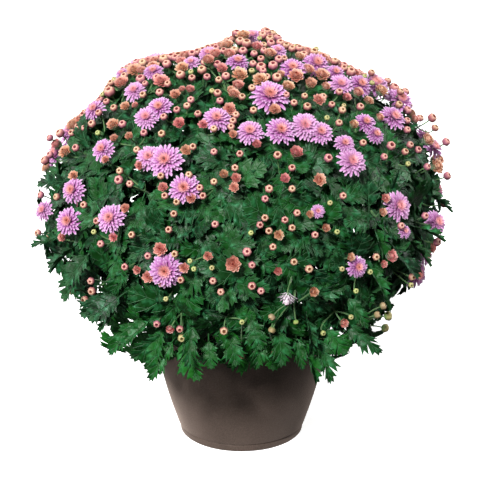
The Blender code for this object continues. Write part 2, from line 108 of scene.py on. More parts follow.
# Heads that have a solid: pixel across, pixel down, width in pixels of the 483 by 479 picture
OPEN_HEADS = (
    (270, 95, 33), (165, 160, 30), (149, 157, 24), (184, 188, 28), (217, 118, 25), (250, 131, 24),
    (281, 130, 26), (305, 125, 26), (321, 132, 22), (352, 161, 26), (345, 143, 18), (366, 122, 19),
    (394, 117, 24), (434, 147, 22), (293, 68, 23), (317, 63, 24), (341, 84, 21), (361, 84, 21),
    (102, 149, 21), (93, 108, 20), (134, 90, 20), (146, 117, 21), (159, 107, 22), (72, 190, 23),
    (68, 221, 24), (43, 210, 19), (110, 218, 26), (165, 271, 30), (399, 206, 26), (437, 222, 23),
    (358, 267, 19), (287, 297, 20), (238, 61, 20), (252, 34, 19), (153, 71, 18), (191, 62, 15),
    (278, 50, 15), (336, 72, 17), (376, 134, 17), (233, 264, 19), (318, 211, 12), (405, 231, 13),
    (122, 73, 14), (208, 53, 17),
)
HALF_HEADS = (
    (181, 61, 14), (175, 94, 14), (190, 89, 13), (238, 85, 17), (186, 150, 14), (140, 165, 14),
    (191, 198, 13), (392, 256, 16), (160, 249, 16), (148, 277, 14), (326, 86, 13), (356, 70, 15),
    (354, 124, 13), (380, 117, 12), (129, 136, 12), (275, 109, 15), (222, 68, 14), (285, 178, 13),
    (236, 178, 13), (314, 292, 14), (344, 323, 13), (125, 208, 12), (208, 256, 12), (170, 329, 12),
    (347, 97, 12), (369, 100, 12), (62, 237, 12), (73, 175, 12), (125, 106, 13), (326, 228, 12),
)
BUDS = (
    (51, 128, 10), (44, 160, 10), (222, 38, 8), (272, 34, 10), (336, 61, 8), (408, 89, 9), (394, 88, 11),
    (432, 118, 10), (446, 142, 9), (447, 176, 9), (437, 242, 9), (388, 316, 10), (385, 328, 9),
    (336, 344, 10), (275, 352, 9), (241, 355, 10), (182, 338, 9), (85, 300, 9), (92, 291, 9), (92, 124, 9),
    (110, 92, 12), (119, 180, 10), (269, 189, 9), (247, 252, 10), (391, 146, 10), (309, 269, 9),
    (252, 286, 9), (224, 331, 9),
)

# Small heads that only this script has, each on a stalk of its own
MORE_HALF_HEADS = (
    (154, 60, 13), (182, 89, 10), (231, 89, 10), (163, 187, 13), (257, 144, 13), (203, 124, 12),
    (114, 138, 12), (105, 159, 10), (224, 174, 13), (234, 187, 12), (279, 235, 12), (310, 214, 10),
    (278, 271, 12), (351, 257, 11), (384, 264, 10), (386, 198, 11), (383, 212, 11), (300, 56, 13),
    (281, 74, 12), (440, 159, 12), (50, 237, 11), (113, 237, 11), (137, 270, 11), (184, 268, 12),
    (233, 134, 11), (135, 105, 10), (162, 283, 10),
)
MORE_BUDS = (
    (83, 115), (99, 113), (85, 128), (78, 127), (72, 133), (50, 138), (50, 155), (120, 171), (130, 184),
    (144, 133), (164, 117), (143, 95), (114, 108), (177, 110), (187, 106), (191, 100), (198, 114),
    (220, 101), (207, 77), (219, 80), (192, 78), (242, 97), (168, 84), (180, 74), (214, 129), (233, 121),
    (236, 115), (231, 127), (137, 150), (193, 147), (161, 176), (240, 154), (235, 168), (214, 182),
    (200, 188), (203, 196), (189, 175), (165, 196), (224, 51), (228, 41), (278, 38), (286, 46), (292, 49),
    (261, 59), (264, 51), (254, 54), (253, 64), (263, 71), (267, 77), (284, 59), (252, 88), (294, 103),
    (286, 95), (339, 123), (407, 121), (407, 130), (369, 76), (385, 84), (396, 96), (409, 105), (420, 118),
    (435, 128), (427, 136), (410, 145), (405, 152), (418, 150), (363, 143), (384, 157), (427, 167),
    (292, 168), (292, 189), (265, 199), (343, 196), (297, 213), (285, 220), (265, 218), (260, 225),
    (269, 231), (292, 228), (315, 235), (273, 247), (252, 265), (294, 262), (261, 291), (376, 257),
    (401, 226), (425, 216), (444, 204), (412, 277), (383, 306), (377, 315), (259, 348), (272, 330),
    (272, 317), (177, 202), (174, 214), (169, 230), (132, 235), (101, 244), (97, 221), (84, 205), (57, 197),
    (38, 233), (41, 195), (148, 256), (175, 254), (125, 267), (181, 280), (213, 281), (221, 292), (91, 281),
    (109, 302), (72, 291), (157, 324), (180, 329),
)
YOUNG_BUDS = (
    (120, 84), (98, 133), (212, 91), (191, 72), (316, 49), (238, 69), (327, 118), (372, 83), (408, 164),
    (330, 203), (251, 233), (337, 232), (342, 269), (370, 272), (411, 285), (356, 291), (351, 317),
    (323, 333), (296, 322), (94, 232), (194, 269), (190, 261), (212, 268), (166, 299), (242, 322),
)
MORE_BUD_WIDTH = 8.0
YOUNG_BUD_WIDTH = 6.0

# The bloom that nods, and where its stalk comes from
NODDING_BLOOM = (287, 297)
NODDING_FROM = (291, 284)

# Buds that nod from a bare fork: the fork, then its buds
NODDING_BUDS = (
    ((295, 302), ((272, 317), (272, 330), (296, 322))), ((270, 335), ((275, 352),)),
    ((354, 334), ((388, 316), (383, 306), (385, 328), (377, 315))), ((242, 327), ((241, 355), (259, 348))),
)

# Buds that are still pale green and cream
PALE_BUDS = (
    (385, 328), (377, 315), (336, 344), (241, 355), (259, 348), (275, 352), (272, 317), (272, 330),
    (182, 338), (388, 316), (383, 306),
)

# The bush's outline in the picture: pixel down, then the first and last pixel across
OUTLINE = (
    (27, 240, 272), (35, 230, 278), (44, 220, 288), (53, 190, 320), (62, 134, 340), (71, 118, 360),
    (80, 110, 376), (89, 104, 408), (98, 98, 412), (107, 87, 414), (116, 77, 436), (125, 64, 440),
    (134, 54, 442), (143, 50, 451), (161, 40, 450), (179, 37, 451), (197, 37, 452), (209, 33, 456),
    (224, 33, 449), (242, 31, 441), (251, 42, 438), (269, 47, 426), (278, 51, 424), (287, 55, 415),
    (296, 57, 397), (305, 70, 387), (314, 78, 388), (332, 96, 387), (350, 106, 381), (359, 128, 350),
    (368, 142, 338), (377, 147, 332), (387, 165, 324),
)

# Full heads that are still salmon, with curled petals: across, down
SALMON_BLOOMS = ((232, 263),)

# Leaves that make the lower edge and hang over the pot: their root, then their tip
EDGE_LEAVES = (
    ((62, 178), (34, 182)), ((54, 236), (31, 243)), ((68, 244), (46, 271)), ((78, 262), (57, 300)),
    ((84, 250), (63, 286)), ((100, 296), (79, 319)), ((116, 306), (97, 334)), ((134, 322), (105, 357)),
    ((120, 296), (88, 318)), ((150, 322), (118, 346)), ((168, 336), (131, 361)), ((174, 340), (149, 380)),
    ((176, 340), (197, 386)), ((160, 330), (150, 362)), ((206, 342), (210, 370)), ((226, 334), (238, 366)),
    ((266, 328), (256, 372)), ((280, 330), (284, 368)), ((298, 338), (303, 373)), ((302, 340), (321, 387)),
    ((320, 336), (332, 383)), ((328, 330), (348, 357)), ((346, 324), (384, 356)), ((372, 262), (391, 301)),
    ((400, 244), (425, 279)), ((414, 236), (436, 266)), ((424, 226), (448, 240)), ((436, 190), (458, 210)),
    ((350, 296), (372, 330)), ((190, 322), (186, 366)), ((250, 318), (262, 352)), ((310, 318), (312, 356)),
)


class Stage(Enum):
    """How far a head of flower has opened. Its value is its place in tables with a row for each."""

    OPEN = 0
    HALF = 1
    BUD = 2


class Slot(Enum):
    """The record's material slots."""

    POT = "pot_plastic"
    SOIL = "potting_soil"
    GREEN = "foliage"
    PETALS = "petals"


# Node trees and colours


def linear(hex_colour: str) -> tuple[float, float, float, float]:
    """Turns an sRGB hex colour into the linear one that shaders take.

    Args:
        hex_colour: six hex digits.

    Returns:
        Linear red, green and blue, and an alpha of 1.
    """
    parts = [int(hex_colour[i : i + 2], 16) / 255 for i in (0, 2, 4)]
    turned = [part / 12.92 if part <= 0.04045 else ((part + 0.055) / 1.055) ** 2.4 for part in parts]
    return (*turned, 1.0)


class NodePad:
    """A node tree under construction, with short names for sums and coats of colour on it."""

    def __init__(self, tree: bpy.types.NodeTree) -> None:
        """Keeps the tree that nodes are added to."""
        self.tree = tree

    def node(self, kind: str, inputs: Inputs = None, take: str = "", **settings: Any) -> Any:
        """Adds a node to the tree, with its settings and its links.

        Args:
            kind: the node's type name.
            inputs: a value, a hex colour or the socket to link from, for each of the node's sockets.
            take: the output to give, or else the first one in use.
            settings: the node's own properties. stops fills a colour ramp with (place, hex colour).

        Returns:
            The output's socket.
        """
        made = self.tree.nodes.new(kind)
        stops = settings.pop("stops", ())
        for name, value in settings.items():
            setattr(made, name, value)
        for _ in stops[2:]:
            made.color_ramp.elements.new(1.0)
        for i, (place, colour) in enumerate(stops):
            made.color_ramp.elements[i].position = place
            made.color_ramp.elements[i].color = linear(colour)
        for key, value in (inputs or {}).items():
            socket = made.inputs[key]
            if isinstance(value, bpy.types.NodeSocket):
                self.tree.links.new(value, socket)
            else:
                socket.default_value = linear(value) if socket.type == "RGBA" else value
        return made.outputs[take] if take else next(out for out in made.outputs if out.enabled)

    def sum(self, operation: str, *values: Any) -> Any:
        """The result of a sum on one to three values or sockets."""
        return self.node("ShaderNodeMath", dict(enumerate(values)), operation=operation)

    def paint(self, base: Any, *coats: tuple[Any, Any], blend: str = "MIX") -> Any:
        """Lays coats of colour over a base.

        Args:
            base: the first colour, as a hex colour or a socket.
            coats: for each coat how much of it shows, as a value or a socket, and its colour.
            blend: the way of mixing.

        Returns:
            The last colour's socket.
        """
        for share, colour in coats:
            inputs = {0: share, 6: base, 7: colour}
            base = self.node("ShaderNodeMix", inputs, data_type="RGBA", blend_type=blend)
        return base


# Finishes


@dataclass(frozen=True)
class Finish:
    """A finish with a Principled shader, whose colour, roughness and bump its own class draws."""

    name: str
    roughness: float = 0.5
    bump_height: float = 0.0005
    settings: Settings = ()

    def draw(self, pad: NodePad) -> Values:
        """The shader's sockets that this finish links: Base Color, Roughness, and Height for bump."""
        raise NotImplementedError

    def material(self) -> bpy.types.Material:
        """Builds the material once, and gives the same one after that.

        Returns:
            The material.
        """
        found = bpy.data.materials.get(self.name)
        if found:
            return found
        made = bpy.data.materials.new(self.name)
        made.use_nodes = True
        pad = NodePad(made.node_tree)
        shader = made.node_tree.nodes["Principled BSDF"]
        for name, value in (("Roughness", self.roughness), *self.settings):
            shader.inputs[name].default_value = value
        drawn = self.draw(pad)
        relief = {"Height": drawn.pop("Height"), "Distance": self.bump_height, "Strength": 1.0}
        drawn["Normal"] = pad.node("ShaderNodeBump", relief)
        for name, socket in drawn.items():
            made.node_tree.links.new(socket, shader.inputs[name])
        return made


@dataclass(frozen=True)
class MouldedPolypropylene(Finish):
    """Injection-moulded polypropylene with a leather grain: a dull brown skin of small pits."""

    name: str = "moulded_polypropylene"
    roughness: float = 0.55
    bump_height: float = 0.0003
    settings: Settings = (
        ("IOR", 1.49),
        ("Specular IOR Level", 0.35),
        ("Sheen Weight", 0.45),
        ("Sheen Tint", (0.90, 0.72, 0.62, 1.0)),
    )
    # A real grain of 0.6 mm is finer than the render shows, so it is drawn at 2 mm
    grain: float = 2.0 * MILLIMETRE
    cloud: float = 45 * MILLIMETRE
    body: Stops = ((0.30, "50433B"), (0.70, "5D4E46"))
    marks: Stops = ((0.34, "382E29"), (0.50, "5F514A"), (0.66, "82746A"))
    mark_share: float = 0.28
    smooth: float = 0.42
    dull: float = 0.66

    def draw(self, pad: NodePad) -> Values:
        """Pits from a fine noise, in a colour that drifts over a few centimetres."""
        place = pad.node("ShaderNodeTexCoord", take="Object")
        fine = {"Vector": place, "Scale": 1 / self.grain, "Detail": 4.0, "Roughness": 0.65}
        coarse = {"Vector": place, "Scale": 1 / self.cloud, "Detail": 2.0}
        pits, drift = (pad.node("ShaderNodeTexNoise", inputs) for inputs in (fine, coarse))
        body = pad.node("ShaderNodeValToRGB", {0: drift}, stops=self.body)
        marks = pad.node("ShaderNodeValToRGB", {0: pits}, stops=self.marks)
        dull = pad.node("ShaderNodeMapRange", {"Value": pits, "To Min": self.smooth, "To Max": self.dull})
        colour = pad.paint(body, (self.mark_share, marks))
        return {"Base Color": colour, "Roughness": dull, "Height": pits}


@dataclass(frozen=True)
class PeatMix(Finish):
    """Peat-based potting mix: dark crumbly fibre, matt, with lighter chips."""

    name: str = "peat_potting_mix"
    roughness: float = 0.95
    bump_height: float = 0.0016
    crumb: float = 5 * MILLIMETRE
    fibre: float = 1.6 * MILLIMETRE
    fibre_height: float = 0.35
    peat: Stops = ((0.30, "17100B"), (0.50, "33241A"), (0.66, "4C382A"), (0.80, "6B5340"))

    def draw(self, pad: NodePad) -> Values:
        """Crumbs from a coarse noise with a finer fibre on them."""
        place = pad.node("ShaderNodeTexCoord", take="Object")
        crumbs = pad.node("ShaderNodeTexNoise", {"Vector": place, "Scale": 1 / self.crumb, "Detail": 5.0})
        fibre = pad.node("ShaderNodeTexVoronoi", {"Vector": place, "Scale": 1 / self.fibre})
        colour = pad.node("ShaderNodeValToRGB", {0: crumbs}, stops=self.peat)
        height = pad.sum("MULTIPLY_ADD", fibre, self.fibre_height, crumbs)
        return {"Base Color": colour, "Height": height}


@dataclass(frozen=True)
class LeafBlade(Finish):
    """A chrysanthemum's leaf: matt blue-green above with pale sunk veins, grey-green below, and darkened with
    painted shade deep in the bush.
    """

    name: str = "chrysanthemum_leaf"
    roughness: float = 0.46
    bump_height: float = 0.0016
    settings: Settings = (("Specular IOR Level", 0.26),)
    deep_roughness: float = 0.95
    # Each vein runs from a point of the rib to a lobe's tip, in blade lengths. It is half a
    # millimetre wide and drawn at about one, so that it shows
    veins: tuple[tuple[float, float, float, float], ...] = (
        (0.0, 0.05, 0.30, 0.25), (0.10, 0.12, 0.16, 0.10), (0.13, 0.14, 0.25, 0.36),
        (0.0, 0.28, 0.37, 0.66), (0.14, 0.43, 0.27, 0.47), (0.18, 0.47, 0.26, 0.75),
        (0.0, 0.56, 0.21, 0.83), (0.0, 0.76, 0.11, 0.94),
    )
    vein_width: float = 0.014
    mottle: float = 9 * MILLIMETRE
    mottle_height: float = 1.4
    green: Stops = ((0.35, "011305"), (0.50, "092E17"), (0.66, "27603F"), (0.80, "559674"))
    low_green: str = "2C8A28"
    # Painted shade: the colour that a leaf deep in the bush is darkened towards
    shaded: str = "021606"
    vein_colour: str = "629C6A"
    vein_share: float = 0.45
    lower_face: str = "3F6B44"
    lower_share: float = 0.6

    def vein(self, pad: NodePad, place: Any, line: tuple[float, float, float, float]) -> Any:
        """How near a place is to a vein.

        Args:
            pad: the tree under construction.
            place: the socket of the place on the blade.
            line: the vein's ends.

        Returns:
            A socket that is 1 on the vein and 0 away from it.
        """
        start = Vector((line[0], line[1], 0.0))
        along = Vector((line[2], line[3], 0.0)) - start
        arm = pad.node("ShaderNodeVectorMath", {0: place, 1: start}, operation="SUBTRACT")
        inputs = {0: arm, 1: along / along.length_squared}
        reach = pad.node("ShaderNodeVectorMath", inputs, operation="DOT_PRODUCT")
        share = pad.node("ShaderNodeClamp", {"Value": reach})
        foot = pad.node("ShaderNodeVectorMath", {0: along, "Scale": share}, operation="SCALE")
        gap = pad.node("ShaderNodeVectorMath", {0: arm, 1: foot}, operation="DISTANCE")
        inputs = {"Value": gap, "From Min": 0.0, "From Max": self.vein_width, "To Min": 1.0, "To Max": 0.0}
        return pad.node("ShaderNodeMapRange", inputs, interpolation_type="SMOOTHSTEP")

    def draw(self, pad: NodePad) -> Values:
        """Veins from the blade's own map, and a green that each leaf's tint shifts and that painted shade
        darkens by its depth.
        """
        where = pad.node("ShaderNodeTexCoord").node.outputs
        split = pad.node("ShaderNodeSeparateXYZ", {0: where["UV"]}).node.outputs
        out = pad.sum("ABSOLUTE", pad.sum("SUBTRACT", split[0], 0.5))
        along = pad.sum("MULTIPLY_ADD", split[1], 1 + LEAF_STALK, -LEAF_STALK)
        place = pad.node("ShaderNodeCombineXYZ", {0: out, 1: along})
        lines = self.vein(pad, place, (0.0, -LEAF_STALK, 0.0, 0.97))
        for line in self.veins:
            lines = pad.sum("MAXIMUM", lines, self.vein(pad, place, line))
        inputs = {"Vector": where["Object"], "Scale": 1 / self.mottle, "Detail": 3.0}
        cloud = pad.node("ShaderNodeTexNoise", inputs)
        tint, under, deep = (
            pad.node("ShaderNodeAttribute", take="Fac", attribute_name=name)
            for name in ("tint", "under", "deep")
        )
        colour = pad.paint(
            pad.node("ShaderNodeValToRGB", {0: cloud}, stops=self.green),
            (tint, self.low_green),
            # Painted shade, by the leaf's attribute deep
            (deep, self.shaded),
            (pad.sum("MULTIPLY", lines, self.vein_share), self.vein_colour),
            (pad.sum("MULTIPLY", under, self.lower_share), self.lower_face),
        )
        height = pad.sum("SUBTRACT", pad.sum("MULTIPLY", cloud, self.mottle_height), lines)
        dull = pad.sum("MULTIPLY_ADD", deep, self.deep_roughness - self.roughness, self.roughness)
        return {"Base Color": colour, "Roughness": dull, "Height": height}


@dataclass(frozen=True)
class GreenSkin(Finish):
    """The downy skin of stems, stalks and bracts: pale grey-green, browner where it is old."""

    name: str = "stem_skin"
    roughness: float = 0.6
    bump_height: float = 0.0004
    settings: Settings = (("Sheen Weight", 0.2), ("Specular IOR Level", 0.3))
    patch: float = 14 * MILLIMETRE
    rib: float = 1.2 * MILLIMETRE
    young: Stops = ((0.30, "365E32"), (0.70, "668A54"))
    old: str = "5B4A33"

    def draw(self, pad: NodePad) -> Values:
        """Patches of green that turn to brown at the thick, old end of a stem."""
        place = pad.node("ShaderNodeTexCoord", take="Object")
        patch, rib = (
            pad.node("ShaderNodeTexNoise", {"Vector": place, "Scale": 1 / size, "Detail": detail})
            for size, detail in ((self.patch, 2.0), (self.rib, 1.0))
        )
        age = pad.node("ShaderNodeAttribute", take="Fac", attribute_name="age")
        young = pad.node("ShaderNodeValToRGB", {0: patch}, stops=self.young)
        return {"Base Color": pad.paint(young, (age, self.old)), "Height": rib}


def turned_hue(pad: NodePad, colour: Any, turn: float) -> Any:
    """A colour turned towards pink or towards yellow by each head's own attribute hue.

    Args:
        pad: the tree under construction.
        colour: the colour's socket.
        turn: the most that the hue turns, as a share of the colour circle.

    Returns:
        The turned colour's socket.
    """
    hue = pad.node("ShaderNodeAttribute", take="Fac", attribute_name="hue")
    place = pad.sum("MULTIPLY_ADD", hue, turn, 0.5)
    return pad.node("ShaderNodeHueSaturation", {"Hue": place, "Color": colour})


@dataclass(frozen=True)
class Petals(Finish):
    """Ray petals: thin, soft and slightly see-through, darker at the base, partly with painted shade where
    the petals overlap, and paler at the tip.
    """

    name: str = "ray_petal"
    roughness: float = 0.5
    bump_height: float = 0.0004
    settings: Settings = (
        ("Specular IOR Level", 0.2),
        ("Subsurface Weight", 0.12),
        ("Subsurface Radius", (1.0, 0.6, 0.7)),
        ("Subsurface Scale", 0.004),
    )
    # Petals are thin, and light comes through them from behind: a little glow stands for that,
    # more of it at the heart, where they shade each other
    glow: float = 0.035
    heart_glow: float = 0.13
    along: Stops = ()
    heart: Stops = ()
    heart_mask: Pair = (0.7, 0.9)
    other: str = "FFFFFF"
    other_share: float = 0.35
    bleached: str = "FFF6FC"
    hue_turn: float = 0.0
    streaks: float = 26.0
    streak_step: float = 9.0
    streak_share: float = 0.35
    streak_colours: Stops = ((0.35, "E9D2E4"), (0.60, "FFFFFF"))

    def draw(self, pad: NodePad) -> Values:
        """Colour along the petal, colour by its rank in the head, and fine streaks along it."""
        split = pad.node("ShaderNodeSeparateXYZ", {0: pad.node("ShaderNodeTexCoord", take="UV")})
        across, along, _ = split.node.outputs
        rank, tint, pale = (
            pad.node("ShaderNodeAttribute", take="Fac", attribute_name=name)
            for name in ("rank", "tint", "pale")
        )
        low, high = self.heart_mask
        inner = pad.node("ShaderNodeMapRange", {"Value": rank, "From Min": low, "From Max": high})
        body = pad.node("ShaderNodeValToRGB", {0: along}, stops=self.along)
        heart = pad.node("ShaderNodeValToRGB", {0: rank}, stops=self.heart)
        colour = pad.paint(body, (inner, heart), (pad.sum("MULTIPLY", tint, self.other_share), self.other))
        colour = pad.paint(turned_hue(pad, colour, self.hue_turn), (pale, self.bleached))
        inputs = {
            0: pad.sum("MULTIPLY", across, self.streaks), 1: along,
            2: pad.sum("MULTIPLY", rank, self.streak_step),
        }
        line = pad.node("ShaderNodeCombineXYZ", inputs)
        streak = pad.node("ShaderNodeTexNoise", {"Vector": line, "Scale": 1.0, "Detail": 2.0})
        shade = pad.node("ShaderNodeValToRGB", {0: streak}, stops=self.streak_colours)
        streaked = pad.paint(colour, (self.streak_share, shade), blend="MULTIPLY")
        glow = pad.sum("MULTIPLY_ADD", inner, self.heart_glow, self.glow)
        shown = {"Base Color": streaked, "Emission Color": streaked}
        return {**shown, "Emission Strength": glow, "Height": streak}


@dataclass(frozen=True)
class BudSkin(Finish):
    """A bud: green bracts below, pink closed petals, a cream ring of tips and a brown eye."""

    name: str = "bud_petal_tips"
    roughness: float = 0.5
    bump_height: float = 0.0003
    settings: Settings = (("Specular IOR Level", 0.25),)
    pink: Stops = (
        (0.0, "566A44"), (0.22, "747656"), (0.34, "945C62"), (0.58, "AA6A70"), (0.70, "CC9688"),
        (0.81, "E6C4A8"), (0.87, "8E4034"), (1.0, "36100C"),
    )
    hue_turn: float = 0.035
    green: Stops = (
        (0.0, "4E7340"), (0.30, "7FA04E"), (0.66, "B4C877"), (0.84, "C6D48A"), (0.91, "68783A"),
        (1.0, "2E3A18"),
    )
    # Painted shade in the flutes: the colour multiplied into them, and how much of it
    flute_shade_colour: str = "C98078"
    flute_shade_share: float = 0.3

    def draw(self, pad: NodePad) -> Values:
        """Rings of colour from the bud's own map, green in a young bud, with painted shade in the flutes."""
        along = pad.node("ShaderNodeSeparateXYZ", {0: pad.node("ShaderNodeTexCoord", take="UV")}, take="Y")
        tint, flute = (
            pad.node("ShaderNodeAttribute", take="Fac", attribute_name=name) for name in ("tint", "flute")
        )
        rings, young = (
            pad.node("ShaderNodeValToRGB", {0: along}, stops=stops)
            for stops in (self.pink, self.green)
        )
        colour = pad.paint(turned_hue(pad, rings, self.hue_turn), (tint, young))
        share = pad.sum("MULTIPLY", flute, self.flute_shade_share)
        flute_shaded = pad.paint(colour, (share, self.flute_shade_colour), blend="MULTIPLY")
        return {"Base Color": flute_shaded, "Height": flute}


LILAC = Petals(
    name="lilac_ray_petal",
    # The dark base is partly the petal's own colour and partly painted shade where the petals overlap
    along=((0.0, "5A0E46"), (0.32, "8E347E"), (0.60, "B262AA"), (0.84, "D092CC"), (1.0, "F6DCF4")),
    heart=((0.50, "EDB0CC"), (0.68, "F2BCB2"), (0.88, "EFAE9C"), (0.96, "D07A62"), (1.0, "7A2418")),
    heart_mask=(0.44, 0.62),
    other="FBC8EE",
)
CORAL = Petals(
    name="coral_half_open_petal",
    along=((0.0, "A84C44"), (0.30, "D27E6C"), (0.62, "E8A488"), (0.84, "F4C6A8"), (1.0, "FFEEDC")),
    heart=((0.62, "F8B894"), (0.84, "EE9C76"), (0.95, "C45C40"), (1.0, "641E12")),
    heart_mask=(0.70, 0.94),
    other="EE98A0",
    hue_turn=0.03,
)
LEAF = LeafBlade()
SKIN = GreenSkin()
BUD = BudSkin()
LEAF_STALK = 0.26

# Petals with few cross rows: how far along each row is, and its share of the width
SHORT_PETAL = ((0.0, 0.45), (0.62, 1.0), (1.0, 0.48))
BALL_PETAL = ((0.0, 0.45), (0.70, 1.0), (1.0, 0.62))


# Meshes


def mesh_from(name: str, points: list[Vector], faces: list[Face]) -> Mesh:
    """A mesh with its faces turned outwards.

    Args:
        name: the mesh's name.
        points: its points.
        faces: the points of each face.

    Returns:
        The mesh.
    """
    made = bpy.data.meshes.new(name)
    made.from_pydata([tuple(point) for point in points], [], faces)
    body = bmesh.new()
    body.from_mesh(made)
    bmesh.ops.recalc_face_normals(body, faces=body.faces)
    body.to_mesh(made)
    body.free()
    return made


def shade(mesh: Mesh, angle: float) -> None:
    """Smooth shading, with edges sharper than an angle, in degrees, left sharp."""
    mesh.shade_smooth()
    mesh.set_sharp_from_angle(angle=math.radians(angle))


def keep_sharp(mesh: Mesh, pairs: set[frozenset[int]]) -> None:
    """Marks the edges between these pairs of points as sharp."""
    sharp = mesh.attributes.new("sharp_edge", "BOOLEAN", "EDGE")
    for edge in mesh.edges:
        sharp.data[edge.index].value = frozenset(edge.vertices) in pairs


def map_points(mesh: Mesh, places: list[Pair]) -> None:
    """Gives a mesh a UV map from a pair of numbers for each point."""
    layer = mesh.uv_layers.new(name="UVMap")
    for loop in mesh.loops:
        layer.data[loop.index].uv = places[loop.vertex_index]


def lathe(name: str, profile: list[Pair], steps: int) -> Mesh:
    """A closed solid turned about Z.

    Args:
        name: the mesh's name.
        profile: (radius, height) points that start and end on the axis.
        steps: how many steps a turn has.

    Returns:
        The mesh.
    """
    points = [Vector((0, 0, profile[0][1]))]
    for radius, height in profile[1:-1]:
        for i in range(steps):
            turn = 2 * math.pi * i / steps
            points.append(Vector((radius * math.cos(turn), radius * math.sin(turn), height)))
    points.append(Vector((0, 0, profile[-1][1])))
    last = len(points) - 1
    rings = len(profile) - 2
    faces: list[Face] = []
    for i in range(steps):
        k = (i + 1) % steps
        faces.append((0, 1 + k, 1 + i))
        for ring in range(rings - 1):
            low, high = 1 + ring * steps, 1 + (ring + 1) * steps
            faces.append((low + i, low + k, high + k, high + i))
        top = 1 + (rings - 1) * steps
        faces.append((top + i, top + k, last))
    return mesh_from(name, points, faces)


def stand(name: str, data: Any) -> Thing:
    """A new object that stands in the scene."""
    made = bpy.data.objects.new(name, data)
    bpy.context.scene.collection.objects.link(made)
    return made


def evaluated(thing: Thing, name: str) -> Thing:
    """A plain mesh object from an object with modifiers, which is removed.

    Args:
        thing: the object.
        name: the new object's name.

    Returns:
        The new object.
    """
    bpy.context.view_layer.update()
    graph = bpy.context.evaluated_depsgraph_get()
    mesh = bpy.data.meshes.new_from_object(thing.evaluated_get(graph))
    mesh.name = name
    bpy.data.objects.remove(thing)
    return stand(name, mesh)


def declare(piece: Thing, slot: Slot, node: str) -> None:
    """Makes a piece ride on the body and stand for a CAD node, which it hides."""
    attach(piece, BODY)
    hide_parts(node)
    log.info("%s: %d faces", piece.name, len(piece.data.polygons))


# Geometry Nodes


class NodeTool:
    """A Geometry Nodes tree with named inputs, and the way to run it on an object."""

    def __init__(self, name: str, inputs: dict[str, str]) -> None:
        """Makes an empty tree.

        Args:
            name: the tree's name.
            inputs: the type of socket for each named input besides the geometry.
        """
        self.tree = bpy.data.node_groups.new(name, "GeometryNodeTree")
        self.pad = NodePad(self.tree)
        self.sockets: dict[str, str] = {}
        face = self.tree.interface
        face.new_socket(name="Geometry", in_out="OUTPUT", socket_type="NodeSocketGeometry")
        face.new_socket(name="Geometry", in_out="INPUT", socket_type="NodeSocketGeometry")
        for label, kind in inputs.items():
            made = face.new_socket(name=label, in_out="INPUT", socket_type="NodeSocket" + kind)
            self.sockets[label] = made.identifier
        self.start = self.tree.nodes.new("NodeGroupInput")
        self.end = self.tree.nodes.new("NodeGroupOutput")

    def given(self, label: str) -> Any:
        """The socket of a named input."""
        return self.start.outputs[label]

    def close(self, geometry: Any) -> None:
        """Ends the tree with real geometry that has the finish."""
        real = self.pad.node("GeometryNodeRealizeInstances", {"Geometry": geometry})
        inputs = {"Geometry": real, "Material": self.given("Finish")}
        dressed = self.pad.node("GeometryNodeSetMaterial", inputs)
        self.tree.links.new(dressed, self.end.inputs[0])

    def strew(self, points: Any, inputs: Values) -> None:
        """Ends the tree with the given shapes on points, turned and sized by these inputs."""
        group = {"Collection": self.given("Shapes"), "Separate Children": True, "Reset Children": True}
        shapes = self.pad.node("GeometryNodeCollectionInfo", group)
        placing = {"Points": points, "Instance": shapes, "Pick Instance": True, **inputs}
        self.close(self.pad.node("GeometryNodeInstanceOnPoints", placing))

    def run(self, name: str, mesh: Mesh, values: Values) -> Thing:
        """Runs the tree on a mesh, and makes the result a plain mesh object.

        Args:
            name: the new object's name.
            mesh: what the tree starts from.
            values: a value for each named input.

        Returns:
            The new object.
        """
        thing = stand(name + "_guide", mesh)
        tool = thing.modifiers.new("build", "NODES")
        tool.node_group = self.tree
        for label, value in values.items():
            tool[self.sockets[label]] = value
        return evaluated(thing, name)


class Scatter(NodeTool):
    """Puts shapes on points: each has its own turn, size and shape, and a little sway."""

    def __init__(self) -> None:
        """Builds the tree."""
        inputs = {"Shapes": "Collection", "Sway": "Float", "Swell": "Float", "Seed": "Int"}
        super().__init__("scatter_shapes", {**inputs, "Finish": "Material"})
        pad, sway, swell, seed = self.pad, self.given("Sway"), self.given("Swell"), self.given("Seed")
        facing, size, shape = (
            pad.node("GeometryNodeInputNamedAttribute", {"Name": name}, data_type=kind)
            for kind, name in (("QUATERNION", "facing"), ("FLOAT", "size"), ("INT", "shape"))
        )
        least, most = (
            pad.node("ShaderNodeCombineXYZ", {i: pad.sum("MULTIPLY", sway, sign) for i in range(3)})
            for sign in (-1.0, 1.0)
        )
        inputs = {"Min": least, "Max": most, "Seed": seed}
        swing = pad.node("FunctionNodeRandomValue", inputs, data_type="FLOAT_VECTOR")
        inputs = {"Rotation": facing, "Rotate By": swing}
        turned = pad.node("FunctionNodeRotateRotation", inputs, rotation_space="LOCAL")
        inputs = {2: pad.sum("SUBTRACT", 1.0, swell), 3: pad.sum("ADD", 1.0, swell)}
        inputs["Seed"] = pad.sum("ADD", seed, 1.0)
        grow = pad.node("FunctionNodeRandomValue", inputs, data_type="FLOAT")
        scale = pad.sum("MULTIPLY", size, grow)
        self.strew(self.given("Geometry"), {"Instance Index": shape, "Rotation": turned, "Scale": scale})


